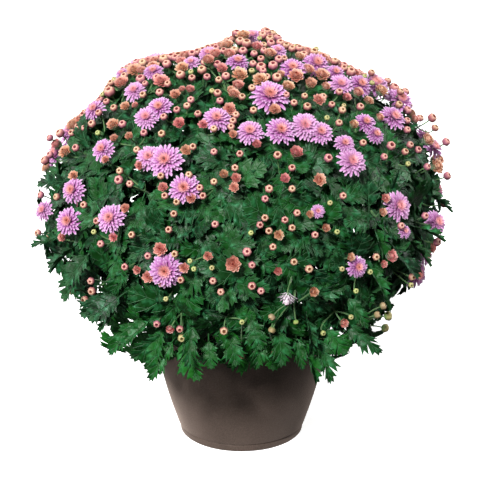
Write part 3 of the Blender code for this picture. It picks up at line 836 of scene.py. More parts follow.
class Whorls(NodeTool):
    """Sets petals round a head in a golden-angle spiral, from the outermost to the heart."""

    def __init__(self) -> None:
        """Builds the tree."""
        inputs = {"Shapes": "Collection", "Finish": "Material"}
        inputs |= {label: "Int" for label in ("Kinds", "Petals", "Seed")}
        floats = ("Foot Radius", "Foot Low", "Foot High", "Tilt Low", "Tilt High", "Tilt Power")
        inputs |= {label: "Float" for label in (*floats, "Long", "Short", "Jitter")}
        super().__init__("petal_whorls", inputs)
        pad = self.pad
        index = pad.node("GeometryNodeInputIndex")
        share = pad.sum("DIVIDE", index, pad.sum("SUBTRACT", self.given("Petals"), 1.0))
        seeds = [pad.sum("MULTIPLY_ADD", self.given("Seed"), float(SEED_STEP), float(i)) for i in range(4)]
        chances = [
            pad.node("FunctionNodeRandomValue", {2: -1.0, "Seed": seed}, data_type="FLOAT")
            for seed in seeds
        ]
        about, lean, roll, stretch = (pad.sum("MULTIPLY", chance, self.given("Jitter")) for chance in chances)
        turn = pad.sum("MULTIPLY_ADD", index, GOLDEN_ANGLE, about)
        foot = pad.sum("MULTIPLY", self.given("Foot Radius"), pad.sum("SUBTRACT", 1.0, share))
        across = pad.sum("MULTIPLY", foot, pad.sum("COSINE", turn))
        deep = pad.sum("MULTIPLY", foot, pad.sum("SINE", turn))
        high = self.between("Foot Low", "Foot High", share)
        place = pad.node("ShaderNodeCombineXYZ", {0: across, 1: deep, 2: high})
        tilt = self.between("Tilt Low", "Tilt High", pad.sum("POWER", share, self.given("Tilt Power")))
        rise = pad.sum("MULTIPLY", pad.sum("ADD", tilt, lean), -1.0)
        euler = pad.node("ShaderNodeCombineXYZ", {0: roll, 1: rise, 2: turn})
        turned = pad.node("FunctionNodeEulerToRotation", {0: euler})
        stretch = pad.sum("MULTIPLY_ADD", stretch, 0.5, 1.0)
        length = pad.sum("MULTIPLY", self.between("Long", "Short", share), stretch)
        points = pad.node("GeometryNodePoints", {"Count": self.given("Petals"), "Position": place})
        inputs = {"Geometry": points, "Name": "rank", "Value": share}
        ranked = pad.node("GeometryNodeStoreNamedAttribute", inputs, data_type="FLOAT", domain="POINT")
        kind = pad.sum("FLOOR", pad.sum("MULTIPLY", share, pad.sum("SUBTRACT", self.given("Kinds"), 0.01)))
        self.strew(ranked, {"Instance Index": kind, "Rotation": turned, "Scale": length})

    def between(self, low: str, high: str, share: Any) -> Any:
        """A value that goes from one input to another with a share."""
        span = self.pad.sum("SUBTRACT", self.given(high), self.given(low))
        return self.pad.sum("MULTIPLY_ADD", span, share, self.given(low))


class Tubes(NodeTool):
    """Turns chains of edges into round, capped stalks that are as thick as each point says."""

    def __init__(self) -> None:
        """Builds the tree."""
        super().__init__("stalk_tubes", {"Sides": "Int", "Finish": "Material"})
        pad = self.pad
        inputs = {"Name": "thickness"}
        thick = pad.node("GeometryNodeInputNamedAttribute", inputs, data_type="FLOAT")
        lines = pad.node("GeometryNodeMeshToCurve", {"Mesh": self.given("Geometry")})
        inputs = {"Resolution": self.given("Sides"), "Radius": 1.0}
        ring = pad.node("GeometryNodeCurvePrimitiveCircle", inputs)
        inputs = {"Curve": lines, "Profile Curve": ring, "Scale": thick, "Fill Caps": True}
        self.close(pad.node("GeometryNodeCurveToMesh", inputs))


def point_mesh(name: str, rows: list[Values]) -> Mesh:
    """A mesh of loose points that the scatter tree reads.

    Args:
        name: the mesh's name.
        rows: for each point its place, facing, size, shape, and any other number by name.

    Returns:
        The mesh.
    """
    made = bpy.data.meshes.new(name)
    made.from_pydata([tuple(row["place"]) for row in rows], [], [])
    kinds = {"facing": "QUATERNION", "shape": "INT"}
    for key in [key for key in rows[0] if key != "place"]:
        layer = made.attributes.new(key, kinds.get(key, "FLOAT"), "POINT")
        for item, row in zip(layer.data, rows):
            item.value = row[key]
    return made


def line_mesh(name: str, lines: list[Line]) -> Mesh:
    """A mesh of chains of edges that the tube tree reads.

    Args:
        name: the mesh's name.
        lines: for each chain its points, each with a thickness and an age.

    Returns:
        The mesh.
    """
    points = [point for line in lines for point in line]
    edges = []
    start = 0
    for line in lines:
        edges += [(start + i, start + i + 1) for i in range(len(line) - 1)]
        start += len(line)
    made = bpy.data.meshes.new(name)
    made.from_pydata([tuple(point[0]) for point in points], edges, [])
    for key, place in (("thickness", 1), ("age", 2)):
        layer = made.attributes.new(key, "FLOAT", "POINT")
        layer.data.foreach_set("value", [point[place] for point in points])
    return made


class ShapeSet:
    """A collection of template objects, which Geometry Nodes picks from in the order of names."""

    def __init__(self, name: str, meshes: list[Mesh]) -> None:
        """Makes an object of each mesh in a collection of their own."""
        self.group = bpy.data.collections.new(name)
        self.count = len(meshes)
        for i, mesh in enumerate(meshes):
            self.group.objects.link(bpy.data.objects.new(f"{name}_{i:02d}", mesh))

    def clear(self) -> None:
        """Removes the templates."""
        for thing in list(self.group.objects):
            bpy.data.objects.remove(thing)
        bpy.data.collections.remove(self.group)


# Plan of the bush


@dataclass(frozen=True)
class Dome:
    """The rounded shape that the bush fills: wider than tall, with a flatter underside."""

    height: float = 0.352
    radius: float = 0.314
    up: float = 0.276
    down: float = 0.245

    @property
    def middle(self) -> Vector:
        """The dome's middle."""
        return Vector((0, 0, self.height))

    def tall(self, rise: float) -> float:
        """The half height on the side of a rise."""
        return self.up if rise > 0 else self.down

    def reach(self, way: Vector) -> float:
        """How far the surface is from the middle along a unit vector."""
        return 1 / math.sqrt((way.x**2 + way.y**2) / self.radius**2 + way.z**2 / self.tall(way.z) ** 2)

    def place(self, way: Vector, share: float = 1.0) -> Vector:
        """The place at a share of the way to the surface."""
        return self.middle + way * self.reach(way) * share

    def share(self, place: Vector) -> float:
        """1 on the surface, less inside it."""
        arm = place - self.middle
        return arm.length / self.reach(arm.normalized())

    def out(self, place: Vector) -> Vector:
        """The unit vector out of the dome at a place."""
        arm = place - self.middle
        tall = self.tall(arm.z)
        return Vector((arm.x / self.radius**2, arm.y / self.radius**2, arm.z / tall**2)).normalized()


@dataclass(frozen=True)
class PictureView:
    """Where the picture was taken from, and the scale of its pixels."""

    eye: tuple[float, float, float] = (0.0, -2.30, 1.10)
    aim: tuple[float, float, float] = (0.0, 0.0, 0.313)
    size: tuple[int, int] = (483, 479)
    focal_pixels: float = 1581.0
    sight_start: float = 1.3
    sight_step: float = 0.002
    sight_steps: int = 420
    sensor: float = 36.0

    def place(self, dome: Dome, across: float, down: float) -> Vector:
        """Where a pixel's sight line first meets the dome, or passes nearest to it.

        Args:
            dome: the bush's shape.
            across: pixels from the left.
            down: pixels from the top.

        Returns:
            The place.
        """
        eye = Vector(self.eye)
        sight = self.sight(across, down)
        start = (Vector(self.aim) - eye).length - dome.radius * self.sight_start
        places = [eye + sight * (start + self.sight_step * i) for i in range(self.sight_steps)]
        inside = [place for place in places if dome.share(place) <= 1.0]
        return inside[0] if inside else min(places, key=dome.share)

    def inside(self, place: Vector, room: float = 0.0) -> bool:
        """Whether a place, with room in metres on each side, shows inside the bush's outline."""
        forward, right, upward = self.axes()
        arm = place - Vector(self.eye)
        scale = self.focal_pixels / arm.dot(forward)
        across = self.size[0] / 2 + arm.dot(right) * scale
        down = self.size[1] / 2 - arm.dot(upward) * scale
        rows, first, last = zip(*OUTLINE)
        low = float(np.interp(down, rows, first)) + room * scale
        high = float(np.interp(down, rows, last)) - room * scale
        return low <= across <= high and down >= rows[0] + room * scale

    def axes(self) -> tuple[Vector, Vector, Vector]:
        """The unit vectors forward, to the right and upward in the picture."""
        forward = (Vector(self.aim) - Vector(self.eye)).normalized()
        right = forward.cross(Vector((0, 0, 1))).normalized()
        return forward, right, right.cross(forward)

    def beside(self, place: Vector, across: float, down: float) -> Vector:
        """The point on a pixel's sight line that is nearest to a place."""
        sight = self.sight(across, down)
        return Vector(self.eye) + sight * sight.dot(place - Vector(self.eye))

    def sight(self, across: float, down: float) -> Vector:
        """The unit vector from the eye through a pixel."""
        forward, right, upward = self.axes()
        sight = forward * self.focal_pixels
        sight += right * (across - self.size[0] / 2) - upward * (down - self.size[1] / 2)
        return sight.normalized()

    def width(self, pixels: float, place: Vector) -> float:
        """The width in metres of something at a place."""
        return pixels * (place - Vector(self.eye)).length / self.focal_pixels

    def camera(self) -> None:
        """The scene's camera at the picture's place."""
        lens = bpy.data.cameras.new("picture_camera")
        lens.sensor_width = self.sensor
        lens.lens = self.focal_pixels * self.sensor / self.size[0]
        made = stand("picture_camera", lens)
        made.location = self.eye
        made.rotation_euler = self.axes()[0].to_track_quat("-Z", "Y").to_euler()
        bpy.context.scene.camera = made


@dataclass
class Head:
    """A head of flower: stage, middle, the way it faces, radius, and the node that holds it."""

    stage: Stage
    place: Vector
    way: Vector
    radius: float
    tint: float = 0.0
    pale: float = 0.0
    salmon: bool = False
    node: str = ""
    shoot: int = 0


@dataclass
class Stem:
    """A stem of the bush: where it stands in the soil, and where its shoots part."""

    foot: Vector
    core: Vector
    radius: float = 0.0


@dataclass
class Shoot:
    """A shoot: its tip, the way out of the dome there, its stem's number, and if it has leaves."""

    tip: Vector
    out: Vector
    stem: int
    leafy: bool = True


def direction_of(turn: float, lift: float) -> Vector:
    """The unit vector at an angle round Z and an angle above the horizon, in radians."""
    return Vector((math.cos(turn) * math.cos(lift), math.sin(turn) * math.cos(lift), math.sin(lift)))


def spiral(count: int, low: float, high: float, crowd: float = 1.0) -> Iterator[Vector]:
    """Directions in a golden-angle spiral, from the top down.

    Args:
        count: how many.
        low: the lowest angle above the horizon, in degrees.
        high: the highest one.
        crowd: below 1 they stand closer together low down.

    Yields:
        Unit vectors.
    """
    bottom, top = math.sin(math.radians(low)), math.sin(math.radians(high))
    for i in range(count):
        rise = top + (bottom - top) * ((i + 0.5) / count) ** crowd
        yield direction_of(i * GOLDEN_ANGLE, math.asin(rise))


def bend(start: Vector, knee: Vector, end: Vector, steps: int) -> list[Vector]:
    """Points of a bow from one place to another by way of a knee."""
    shares = [i / steps for i in range(steps + 1)]
    return [start * (1 - t) ** 2 + knee * 2 * t * (1 - t) + end * t**2 for t in shares]


@dataclass
class BushPlan:
    """Where stems, shoots and heads stand. The first part repeats the source's own plan."""

    chance: random.Random
    stems: list[Stem] = field(default_factory=list)
    shoots: list[Shoot] = field(default_factory=list)
    heads: list[Head] = field(default_factory=list)
    dome: Dome = field(default_factory=Dome)
    view: PictureView = field(default_factory=PictureView)
    stem_count: int = 14
    stem_range: Pair = (-26.0, 84.0)
    stem_spread: float = 0.074
    core_share: float = 0.66
    core_fill: float = 0.485
    head_lift: float = 0.25
    head_sway: float = 0.2
    head_step: float = 0.003
    head_steps: int = 9
    head_room: float = 0.62
    clusters: int = 11
    cluster_range: Pair = (-14.0, 62.0)
    cluster_arc: float = 200.0
    cluster_spread: float = 0.036
    cluster_stages: tuple[Stage, ...] = (Stage.OPEN, Stage.HALF, Stage.OPEN, Stage.BUD)
    cluster_widths: tuple[Pair, ...] = ((0.034, 0.046), (0.019, 0.024), (0.013, 0.016))
    cluster_turn: float = 0.4
    cluster_middle: float = 0.25
    cluster_shares: Pair = (0.8, 1.2)
    tip_count: int = 132
    shoot_range: Pair = (-54.0, 82.0)
    shoot_crowd: float = 0.94
    shoot_share: Pair = (0.86, 0.95)
    shoot_top_drop: float = 0.06
    shoot_depth: float = 0.026
    shoot_reach: float = 0.030
    shoot_room: float = 0.006
    back_ways: int = 96
    back_range: Pair = (-24.0, 74.0)
    back_from: float = 0.12
    back_top: Pair = (1.0, 0.3)
    back_sway: float = 0.075
    back_young: float = 0.2
    back_stages: tuple[Stage, ...] = (
        Stage.BUD, Stage.HALF, Stage.OPEN, Stage.BUD, Stage.BUD, Stage.OPEN, Stage.HALF, Stage.BUD,
    )
    back_widths: tuple[Pair, ...] = ((0.026, 0.036), (0.017, 0.023), (0.010, 0.015))
    young_tint: Pair = (0.6, 0.95)
    pale_tint: Pair = (0.35, 0.6)
    cap_heads: int = 2200
    cap_range: Pair = (14.0, 89.0)
    cap_half: Pair = (0.020, 0.027)
    cap_bud: Pair = (0.010, 0.013)
    cap_room: float = 0.0048
    cap_aside: float = 0.40
    cap_back: float = 0.007
    cap_clumps: float = 7.0
    cap_bare: float = -0.28
    cap_full: float = 0.82
    cap_thin: float = 0.055
    cap_sway: float = 0.03
    cap_shares: Pair = (0.98, 1.02)
    cap_young: float = 0.12
    cap_tint: Pair = (0.5, 0.9)
    cap_side: float = 0.6
    young_scale: float = 0.62
    full_scale: float = 1.22
    nod_share: float = 0.985
    nod_out: float = 0.45
    nod_pale: float = 0.9
    turn_share: float = 0.5
    turn_to: float = 0.1
    node_reach: float = 1.06
    node_points: int = 24
    head_edge: float = 0.8
    sink_from: float = -0.10
    sink_step: float = 0.002
    sink_steps: int = 13
    free_sink_steps: int = 24

    def grow(self) -> None:
        """Places the stems, the shoots and all the heads."""
        self.stems = self.spread_stems()
        self.shoots = self.leafy_shoots()
        self.heads = self.source_heads()
        self.find_nodes()
        for head in self.heads:
            if head.place.y > self.sink_from:
                self.sink(head, self.sink_steps)
        self.heads = self.separate(self.more_heads(), self.heads)
        self.heads += self.cap()
        self.turn()
        self.root_shoots()
        self.nod()

    def spread_stems(self) -> list[Stem]:
        """The stems, each with a core that keeps clear of the others."""
        made = []
        for i, way in enumerate(spiral(self.stem_count, *self.stem_range)):
            spread = self.stem_spread * math.sqrt(i / (self.stem_count - 1))
            foot = direction_of(i * GOLDEN_ANGLE, 0.0) * spread
            made.append(Stem(foot, self.dome.place(way, self.core_share)))
        for stem in made:
            near = min((s.core - stem.core).length for s in made if s is not stem)
            stem.radius = self.core_fill * near
        return made

    def new_head(self, stage: Stage, place: Vector, radius: float, chance: random.Random) -> Head:
        """A head that faces out of the dome and somewhat up, with a little turn of its own."""
        way = self.dome.out(place) + Vector((0, 0, self.head_lift))
        way += Vector([chance.uniform(-self.head_sway, self.head_sway) for _ in range(3)])
        return Head(stage, place, way.normalized(), radius)

    def seen(self, stage: Stage, rows: Any, chance: random.Random) -> list[Head]:
        """Heads of one stage from a table of pixels."""
        heads = []
        for across, down, width in rows:
            place = self.view.place(self.dome, across, down)
            heads.append(self.new_head(stage, place, self.view.width(width, place) / 2, chance))
        return heads

    def unseen(self, chance: random.Random) -> list[Head]:
        """Clusters of heads round the back of the dome."""
        heads = []
        bottom, top = (math.sin(math.radians(angle)) for angle in self.cluster_range)
        for i in range(self.clusters):
            rise = bottom + (top - bottom) * (i + 0.5) / self.clusters
            around = ((i * GOLDEN_ANGLE / (2 * math.pi)) % 1.0 - 0.5) * math.radians(self.cluster_arc)
            middle = self.dome.place(direction_of(math.pi / 2 + around, math.asin(rise)))
            up = self.dome.out(middle)
            for k, stage in enumerate(self.cluster_stages):
                swing = k * 2 * math.pi / len(self.cluster_stages)
                swing += chance.uniform(-self.cluster_turn, self.cluster_turn)
                share = chance.uniform(*self.cluster_shares) if k else self.cluster_middle
                reach = self.cluster_spread * share
                place = middle + Matrix.Rotation(swing, 3, up) @ up.orthogonal().normalized() * reach
                place = self.dome.place((place - self.dome.middle).normalized())
                width = chance.uniform(*self.cluster_widths[stage.value])
                heads.append(self.new_head(stage, place, width / 2, chance))
        return heads

    def separate(self, heads: list[Head], settled: list[Head]) -> list[Head]:
        """Smaller heads that crowd a larger one stand further out of the dome.

        Args:
            heads: the heads to settle.
            settled: heads that already have their place.

        Returns:
            The settled heads, largest first.
        """
        done = list(settled)
        for head in sorted(heads, key=lambda h: -h.radius):
            for _ in range(self.head_steps):
                room = [(h.place - head.place).length / (h.radius + head.radius) for h in done]
                if not room or min(room) > self.head_room:
                    break
                head.place = head.place + self.dome.out(head.place) * self.head_step
            done.append(head)
        return done

    def source_heads(self) -> list[Head]:
        """The heads that have a solid, at the very places that the source gives them."""
        chance = random.Random(SOURCE_SEED)
        heads = self.seen(Stage.OPEN, OPEN_HEADS, chance)
        heads += self.seen(Stage.HALF, HALF_HEADS, chance)
        heads += self.seen(Stage.BUD, BUDS, chance)
        heads += self.unseen(chance)
        return self.separate(heads, [])

    def nearest(self, heads: list[Head], pixel: tuple[int, int]) -> Head:
        """The head that is nearest to a pixel's place on the dome."""
        aim = self.view.place(self.dome, *pixel)
        return min(heads, key=lambda h: (h.place - aim).length)

    def more_heads(self) -> list[Head]:
        """The small heads that only this script has, on the seen side and round the back."""
        chance = self.chance
        heads = self.seen(Stage.HALF, MORE_HALF_HEADS, chance)
        heads += self.seen(Stage.BUD, [(*row, MORE_BUD_WIDTH) for row in MORE_BUDS], chance)
        young = self.seen(Stage.BUD, [(*row, YOUNG_BUD_WIDTH) for row in YOUNG_BUDS], chance)
        for head in young:
            head.tint = chance.uniform(*self.young_tint)
        heads += young
        steep, far = self.back_top
        for i, way in enumerate(spiral(self.back_ways, *self.back_range)):
            if way.y < self.back_from or (math.asin(way.z) > steep and way.y < far):
                continue
            for k in range(2):
                stage = self.back_stages[(2 * i + k) % len(self.back_stages)]
                shift = Vector([chance.uniform(-self.back_sway, self.back_sway) for _ in range(3)])
                place = self.dome.place((way + shift).normalized())
                width = chance.uniform(*self.back_widths[stage.value])
                head = self.new_head(stage, place, width / 2, chance)
                if stage is Stage.BUD and chance.random() < self.back_young:
                    head.tint = chance.uniform(*self.young_tint)
                if self.sink(head, self.free_sink_steps):
                    heads.append(head)
        for pixel in PALE_BUDS:
            self.nearest(self.heads + heads, pixel).tint = chance.uniform(*self.pale_tint)
        for pixel in SALMON_BLOOMS:
            self.nearest([head for head in self.heads if head.stage is Stage.OPEN], pixel).salmon = True
        return heads

    def turn(self) -> None:
        """The heads of the seen side face the picture a little more than their place alone says."""
        for head in self.heads:
            if head.place.y < self.turn_to:
                aim = (Vector(self.view.eye) - head.place).normalized()
                head.way = (head.way + aim * self.turn_share).normalized()

    def sink(self, head: Head, steps: int) -> bool:
        """Sets a head that shows outside the picture's outline deeper, and says if it is inside then."""
        for _ in range(steps):
            if self.view.inside(head.place, head.radius * self.head_edge):
                return True
            head.place = head.place - self.dome.out(head.place) * self.sink_step
        return self.view.inside(head.place, head.radius * self.head_edge)

    def cap(self) -> list[Head]:
        """Small heads that fill the top of the bush wherever there is room between the others."""
        chance = self.chance
        made: list[Head] = []
        forward = self.view.axes()[0]
        for i, way in enumerate(spiral(self.cap_heads, *self.cap_range)):
            if noise.noise(way * self.cap_clumps) < self.cap_bare:
                continue
            shift = Vector([chance.uniform(-self.cap_sway, self.cap_sway) for _ in range(3)])
            place = self.dome.place((way + shift).normalized(), chance.uniform(*self.cap_shares))
            thin = max(0.0, self.cap_full - way.z)
            aside = 1.0 - min(1.0, abs(way.dot(forward)) / self.cap_aside)
            stage, span = (Stage.BUD, self.cap_bud) if i % 4 else (Stage.HALF, self.cap_half)
            head = self.new_head(stage, place, chance.uniform(*span) / 2, chance)
            if stage is Stage.BUD and thin == 0.0:
                head.radius *= self.full_scale
            if stage is Stage.BUD and chance.random() < self.cap_young:
                head.tint = chance.uniform(*self.cap_tint)
                head.radius *= self.young_scale
            room = min((h.place - place).length - h.radius for h in self.heads + made)
            room -= self.cap_thin * thin * (1.0 - self.cap_side * aside)
            room -= self.cap_back * max(0.0, way.y)
            if room > self.cap_room and self.sink(head, self.free_sink_steps):
                made.append(head)
        return made

    def root_shoots(self) -> None:
        """Gives each head its shoot, and adds a shoot under a head that has none near by."""
        for head in self.heads:
            out = self.dome.out(head.place)
            foot = head.place - out * self.shoot_depth
            near = min(range(len(self.shoots)), key=lambda i: (self.shoots[i].tip - foot).length)
            if (self.shoots[near].tip - foot).length > self.shoot_reach:
                near = len(self.shoots)
                self.shoots.append(Shoot(foot, out, self.nearest_stem(foot)))
            head.shoot = near

    def nod(self) -> None:
        """Hangs the nodding bloom and the nodding buds from shoots of their own."""
        for fork, pixels in ((NODDING_FROM, (NODDING_BLOOM,)), *NODDING_BUDS):
            surface = self.view.place(self.dome, *fork)
            out = self.dome.out(surface)
            tip = self.dome.middle + (surface - self.dome.middle) * self.nod_share
            self.shoots.append(Shoot(tip, out, self.nearest_stem(tip), leafy=False))
            for pixel in pixels:
                head = self.nearest(self.heads, pixel)
                head.way = ((head.place - tip).normalized() + out * self.nod_out).normalized()
                head.pale = self.nod_pale if head.stage is Stage.OPEN else 0.0
                head.shoot = len(self.shoots) - 1

    def nearest_stem(self, place: Vector) -> int:
        """The number of the stem whose core is nearest to a place."""
        stems = self.stems
        return min(range(len(stems)), key=lambda i: (stems[i].core - place).length - stems[i].radius)

    def find_nodes(self) -> None:
        """Notes for each open head the CAD node that most of its solid's points are in."""
        clouds = {}
        for name, thing in frame["nodes"].items():
            if name.startswith("bloom_"):
                clouds[name] = np.array([tuple(v.co) for v in thing.data.vertices])
        for head in self.heads:
            if head.stage is not Stage.OPEN:
                continue
            best = self.node_points - 1
            for name, cloud in clouds.items():
                gaps = np.linalg.norm(cloud - np.array(head.place), axis=1)
                near = int((gaps < head.radius * self.node_reach).sum())
                if near > best:
                    best = near
                    head.node = name

    def leafy_shoots(self) -> list[Shoot]:
        """Shoot tips spread evenly under the dome's surface."""
        made = []
        for way in spiral(self.tip_count, *self.shoot_range, self.shoot_crowd):
            share = self.chance.uniform(*self.shoot_share) - self.shoot_top_drop * max(0.0, way.z) ** 2
            tip = self.dome.place(way, share)
            if self.view.inside(tip, self.shoot_room):
                made.append(Shoot(tip, self.dome.out(tip), self.nearest_stem(tip)))
        return made


# Shapes of leaves, petals and buds


@dataclass(frozen=True)
class LeafShape:
    """A lobed, toothed blade on its stalk, a thin closed solid with sharp edges.

    The root is at the origin, the blade runs along +Y and its upper face looks to +Z."""

    droop: float = 0.30
    fold: float = 0.14
    sag: float = 0.35
    twist: float = 0.0
    pillow: float = 0.056
    thick: float = 0.011
    droop_from: float = 0.30
    sag_from: float = 0.16
    rib_depth: float = 0.6
    hub_height: float = 0.4
    # How deeply the blade is cut, from 0, the broad edge, to 1, the deep one
    cut: float = 0.6
    # Half of the edge: out from the rib, and along it, in blade lengths
    broad: tuple[Pair, ...] = (
        (0.05, 0.04), (0.17, 0.09), (0.20, 0.16), (0.31, 0.24), (0.28, 0.30), (0.28, 0.37),
        (0.15, 0.35), (0.30, 0.45), (0.31, 0.53), (0.38, 0.65), (0.32, 0.68), (0.28, 0.77),
        (0.14, 0.67), (0.20, 0.76), (0.23, 0.85), (0.16, 0.87), (0.12, 0.95), (0.06, 0.95),
    )
    deep: tuple[Pair, ...] = (
        (0.04, 0.04), (0.16, 0.10), (0.14, 0.17), (0.32, 0.28), (0.22, 0.29), (0.25, 0.39),
        (0.07, 0.30), (0.28, 0.50), (0.23, 0.53), (0.39, 0.71), (0.24, 0.65), (0.26, 0.79),
        (0.06, 0.60), (0.14, 0.74), (0.22, 0.87), (0.11, 0.84), (0.12, 0.97), (0.04, 0.93),
    )
    rib: tuple[float, ...] = (0.0, 0.15, 0.31, 0.46, 0.62, 0.80, 1.0)
    lobes: tuple[Pair, ...] = ((0.15, 0.21), (0.20, 0.54), (0.09, 0.80))
    # The stalk's three edges: out from the rib and up from it, at the blade and at the root
    stalk_high: tuple[Pair, ...] = ((0.022, -0.004), (-0.022, -0.004), (0.0, -0.040))
    stalk_low: tuple[Pair, ...] = ((0.016, 0.008), (-0.016, 0.008), (0.0, -0.020))
    stalk_in: float = 0.02
    wide: float = 1.0

    def height(self, out: float, along: float) -> float:
        """How high the blade stands: folded on the rib, with its tip and lobes hanging."""
        tip = self.droop * max(0.0, along - self.droop_from) ** 2
        side = self.fold * abs(out) - self.sag * max(0.0, abs(out) - self.sag_from) ** 2
        return side - tip + self.twist * out * along

    def mesh(self, name: str) -> Mesh:
        """Builds the blade and its stalk.

        Args:
            name: the mesh's name.

        Returns:
            The mesh, with its UV map and the attribute under, 1 on the lower face.
        """
        points: list[Vector] = []
        flat: list[Pair] = []

        def at(out: float, along: float, lift: float) -> int:
            points.append(Vector((out * self.wide, along + LEAF_STALK, self.height(out, along) + lift)))
            flat.append((out + 0.5, (along + LEAF_STALK) / (1 + LEAF_STALK)))
            return len(points) - 1

        edge = [Vector(a).lerp(Vector(b), self.cut) for a, b in zip(self.broad, self.deep)]
        sides = [[at(out * sign, along, -self.pillow / 2) for out, along in edge] for sign in (1, -1)]
        base, tip = at(0.0, self.rib[0], 0.0), at(0.0, self.rib[-1], 0.0)
        faces: list[Face] = []
        lower: list[Face] = []
        for low in (False, True):
            drop = -self.thick if low else 0.0
            low_rib = drop - self.pillow * self.rib_depth
            ribs = [base, *[at(0.0, along, low_rib) for along in self.rib[1:-1]], tip]
            for sign, edge in zip((1, -1), sides):
                high = drop + self.pillow * self.hub_height
                hubs = [at(out * sign, along, high) for out, along in self.lobes]
                rings = (
                    [ribs[0], *edge[:7], ribs[2], ribs[1]],
                    [ribs[2], *edge[6:13], ribs[4], ribs[3]],
                    [ribs[4], *edge[12:], ribs[6], ribs[5]],
                )
                for hub, ring in zip(hubs, rings):
                    closed = [*ring, ring[0]]
                    for i in range(0, len(ring), 2):
                        (lower if low else faces).append((hub, *closed[i : i + 3]))
        high = [at(side, self.stalk_in, lift) for side, lift in self.stalk_high]
        foot = [at(side, -LEAF_STALK, lift) for side, lift in self.stalk_low]
        stalk = [(high[i], high[(i + 1) % 3], foot[(i + 1) % 3], foot[i]) for i in range(3)]
        stalk += [tuple(high), tuple(foot)]
        made = mesh_from(name, points, faces + lower + stalk)
        map_points(made, flat)
        made.shade_smooth()
        loops = [[base, *side, tip] for side in sides]
        keep_sharp(made, {frozenset(pair) for loop in loops for pair in zip(loop, loop[1:])})
        under = made.attributes.new("under", "FLOAT", "FACE")
        for i in range(len(lower)):
            under.data[len(faces) + i].value = 1.0
        return made


@dataclass(frozen=True)
class PetalShape:
    """A strap petal along +X, a thin closed solid, curved along its length and cupped across."""

    width: float = 0.19
    start: float = 0.0
    bend: float = 0.0
    cup: float = 0.35
    thick: float = 0.022
    notch: float = 0.035
    rows: tuple[Pair, ...] = ((0.0, 0.30), (0.32, 0.72), (0.64, 1.0), (0.88, 0.82), (1.0, 0.34))

    def mesh(self, name: str) -> Mesh:
        """Builds the petal.

        Args:
            name: the mesh's name.

        Returns:
            The mesh, whose UV map has the share across and the share along.
        """
        points: list[Vector] = []
        flat: list[Pair] = []
        place, last = Vector((0, 0, 0)), 0.0
        columns: list[list[int]] = [[], [], [], []]
        for k, (along, wide) in enumerate(self.rows):
            slope = self.start + self.bend * (along + last) / 2
            place = place + Vector((math.cos(slope), 0, math.sin(slope))) * (along - last)
            last = along
            here = self.start + self.bend * along
            rise = Vector((-math.sin(here), 0, math.cos(here)))
            half = self.width * wide
            back = place - Vector((self.notch if along == 1.0 else 0.0, 0, 0)) + rise * self.cup * half
            corners = (
                (back + Vector((0, half, 0)), 1.0),
                (place, 0.5),
                (back - Vector((0, half, 0)), 0.0),
                (place - rise * self.thick, 0.5),
            )
            for column, (corner, across) in zip(columns, corners):
                if column is columns[3] and k in (0, len(self.rows) - 1):
                    column.append(columns[1][-1])
                    continue
                points.append(corner)
                flat.append((across, along))
                column.append(len(points) - 1)
        faces: list[Face] = []
        left, top, right, low = columns
        for i in range(len(self.rows) - 1):
            faces.append((left[i], top[i], top[i + 1], left[i + 1]))
            faces.append((top[i], right[i], right[i + 1], top[i + 1]))
            faces += [(side[i], side[i + 1], low[i + 1], low[i]) for side in (left, right)]
        made = mesh_from(name, points, faces)
        map_points(made, flat)
        made.shade_smooth()
        outline = {frozenset(pair) for side in (left, right) for pair in zip(side, side[1:])}
        outline |= {frozenset((side[end], top[end])) for side in (left, right) for end in (0, -1)}
        keep_sharp(made, outline)
        return made


def bud_mesh(name: str, open_share: float) -> Mesh:
    """A bud of unit radius: a fluted ball with a ring of tips round a sunk eye.

    Args:
        name: the mesh's name.
        open_share: how wide the eye is, from 0 to 1.

    Returns:
        The mesh, whose UV map runs from the stalk, 0, to the eye, 1.
    """
    eye = 0.13 + 0.14 * open_share
    profile = [
        (0.0, -0.80), (0.42, -0.74), (0.84, -0.42), (1.0, 0.02), (0.95, 0.36),
        (0.72, 0.64), (eye + 0.20, 0.74), (eye, 0.52), (0.0, 0.40),
    ]
    levels = [0.0, 0.12, 0.30, 0.46, 0.60, 0.73, 0.84, 0.92, 1.0]
    steps = 12
    flute_depth = 0.91
    made = lathe(name, profile, steps)
    rings = [levels[0]] + [level for level in levels[1:-1] for _ in range(steps)] + [levels[-1]]
    flutes = made.attributes.new("flute", "FLOAT", "POINT")
    for vertex, level in zip(made.vertices, rings):
        if level > 0.35 and vertex.index % 2:
            flutes.data[vertex.index].value = 1.0
            vertex.co.xy *= flute_depth
    map_points(made, [(0.5, level) for level in rings])
    made.shade_smooth()
    return made


def cup_mesh(name: str, tips: int = 8) -> Mesh:
    """The cup of green bracts under a head, of unit radius, with its rim at height 0.

    Args:
        name: the mesh's name.
        tips: how many bract tips the rim shows.

    Returns:
        The mesh.
    """
    profile = [(0.0, -0.62), (0.30, -0.58), (0.78, -0.30), (1.0, 0.0), (0.55, -0.12), (0.0, -0.30)]
    steps = tips * 2
    made = lathe(name, profile, steps)
    for i in range(steps):
        rim = made.vertices[1 + 2 * steps + i]
        rim.co *= 1.0 if i % 2 == 0 else 0.90
        rim.co.z += 0.20 if i % 2 == 0 else -0.06
    shade(made, 50)
    return made


# Sub-assemblies


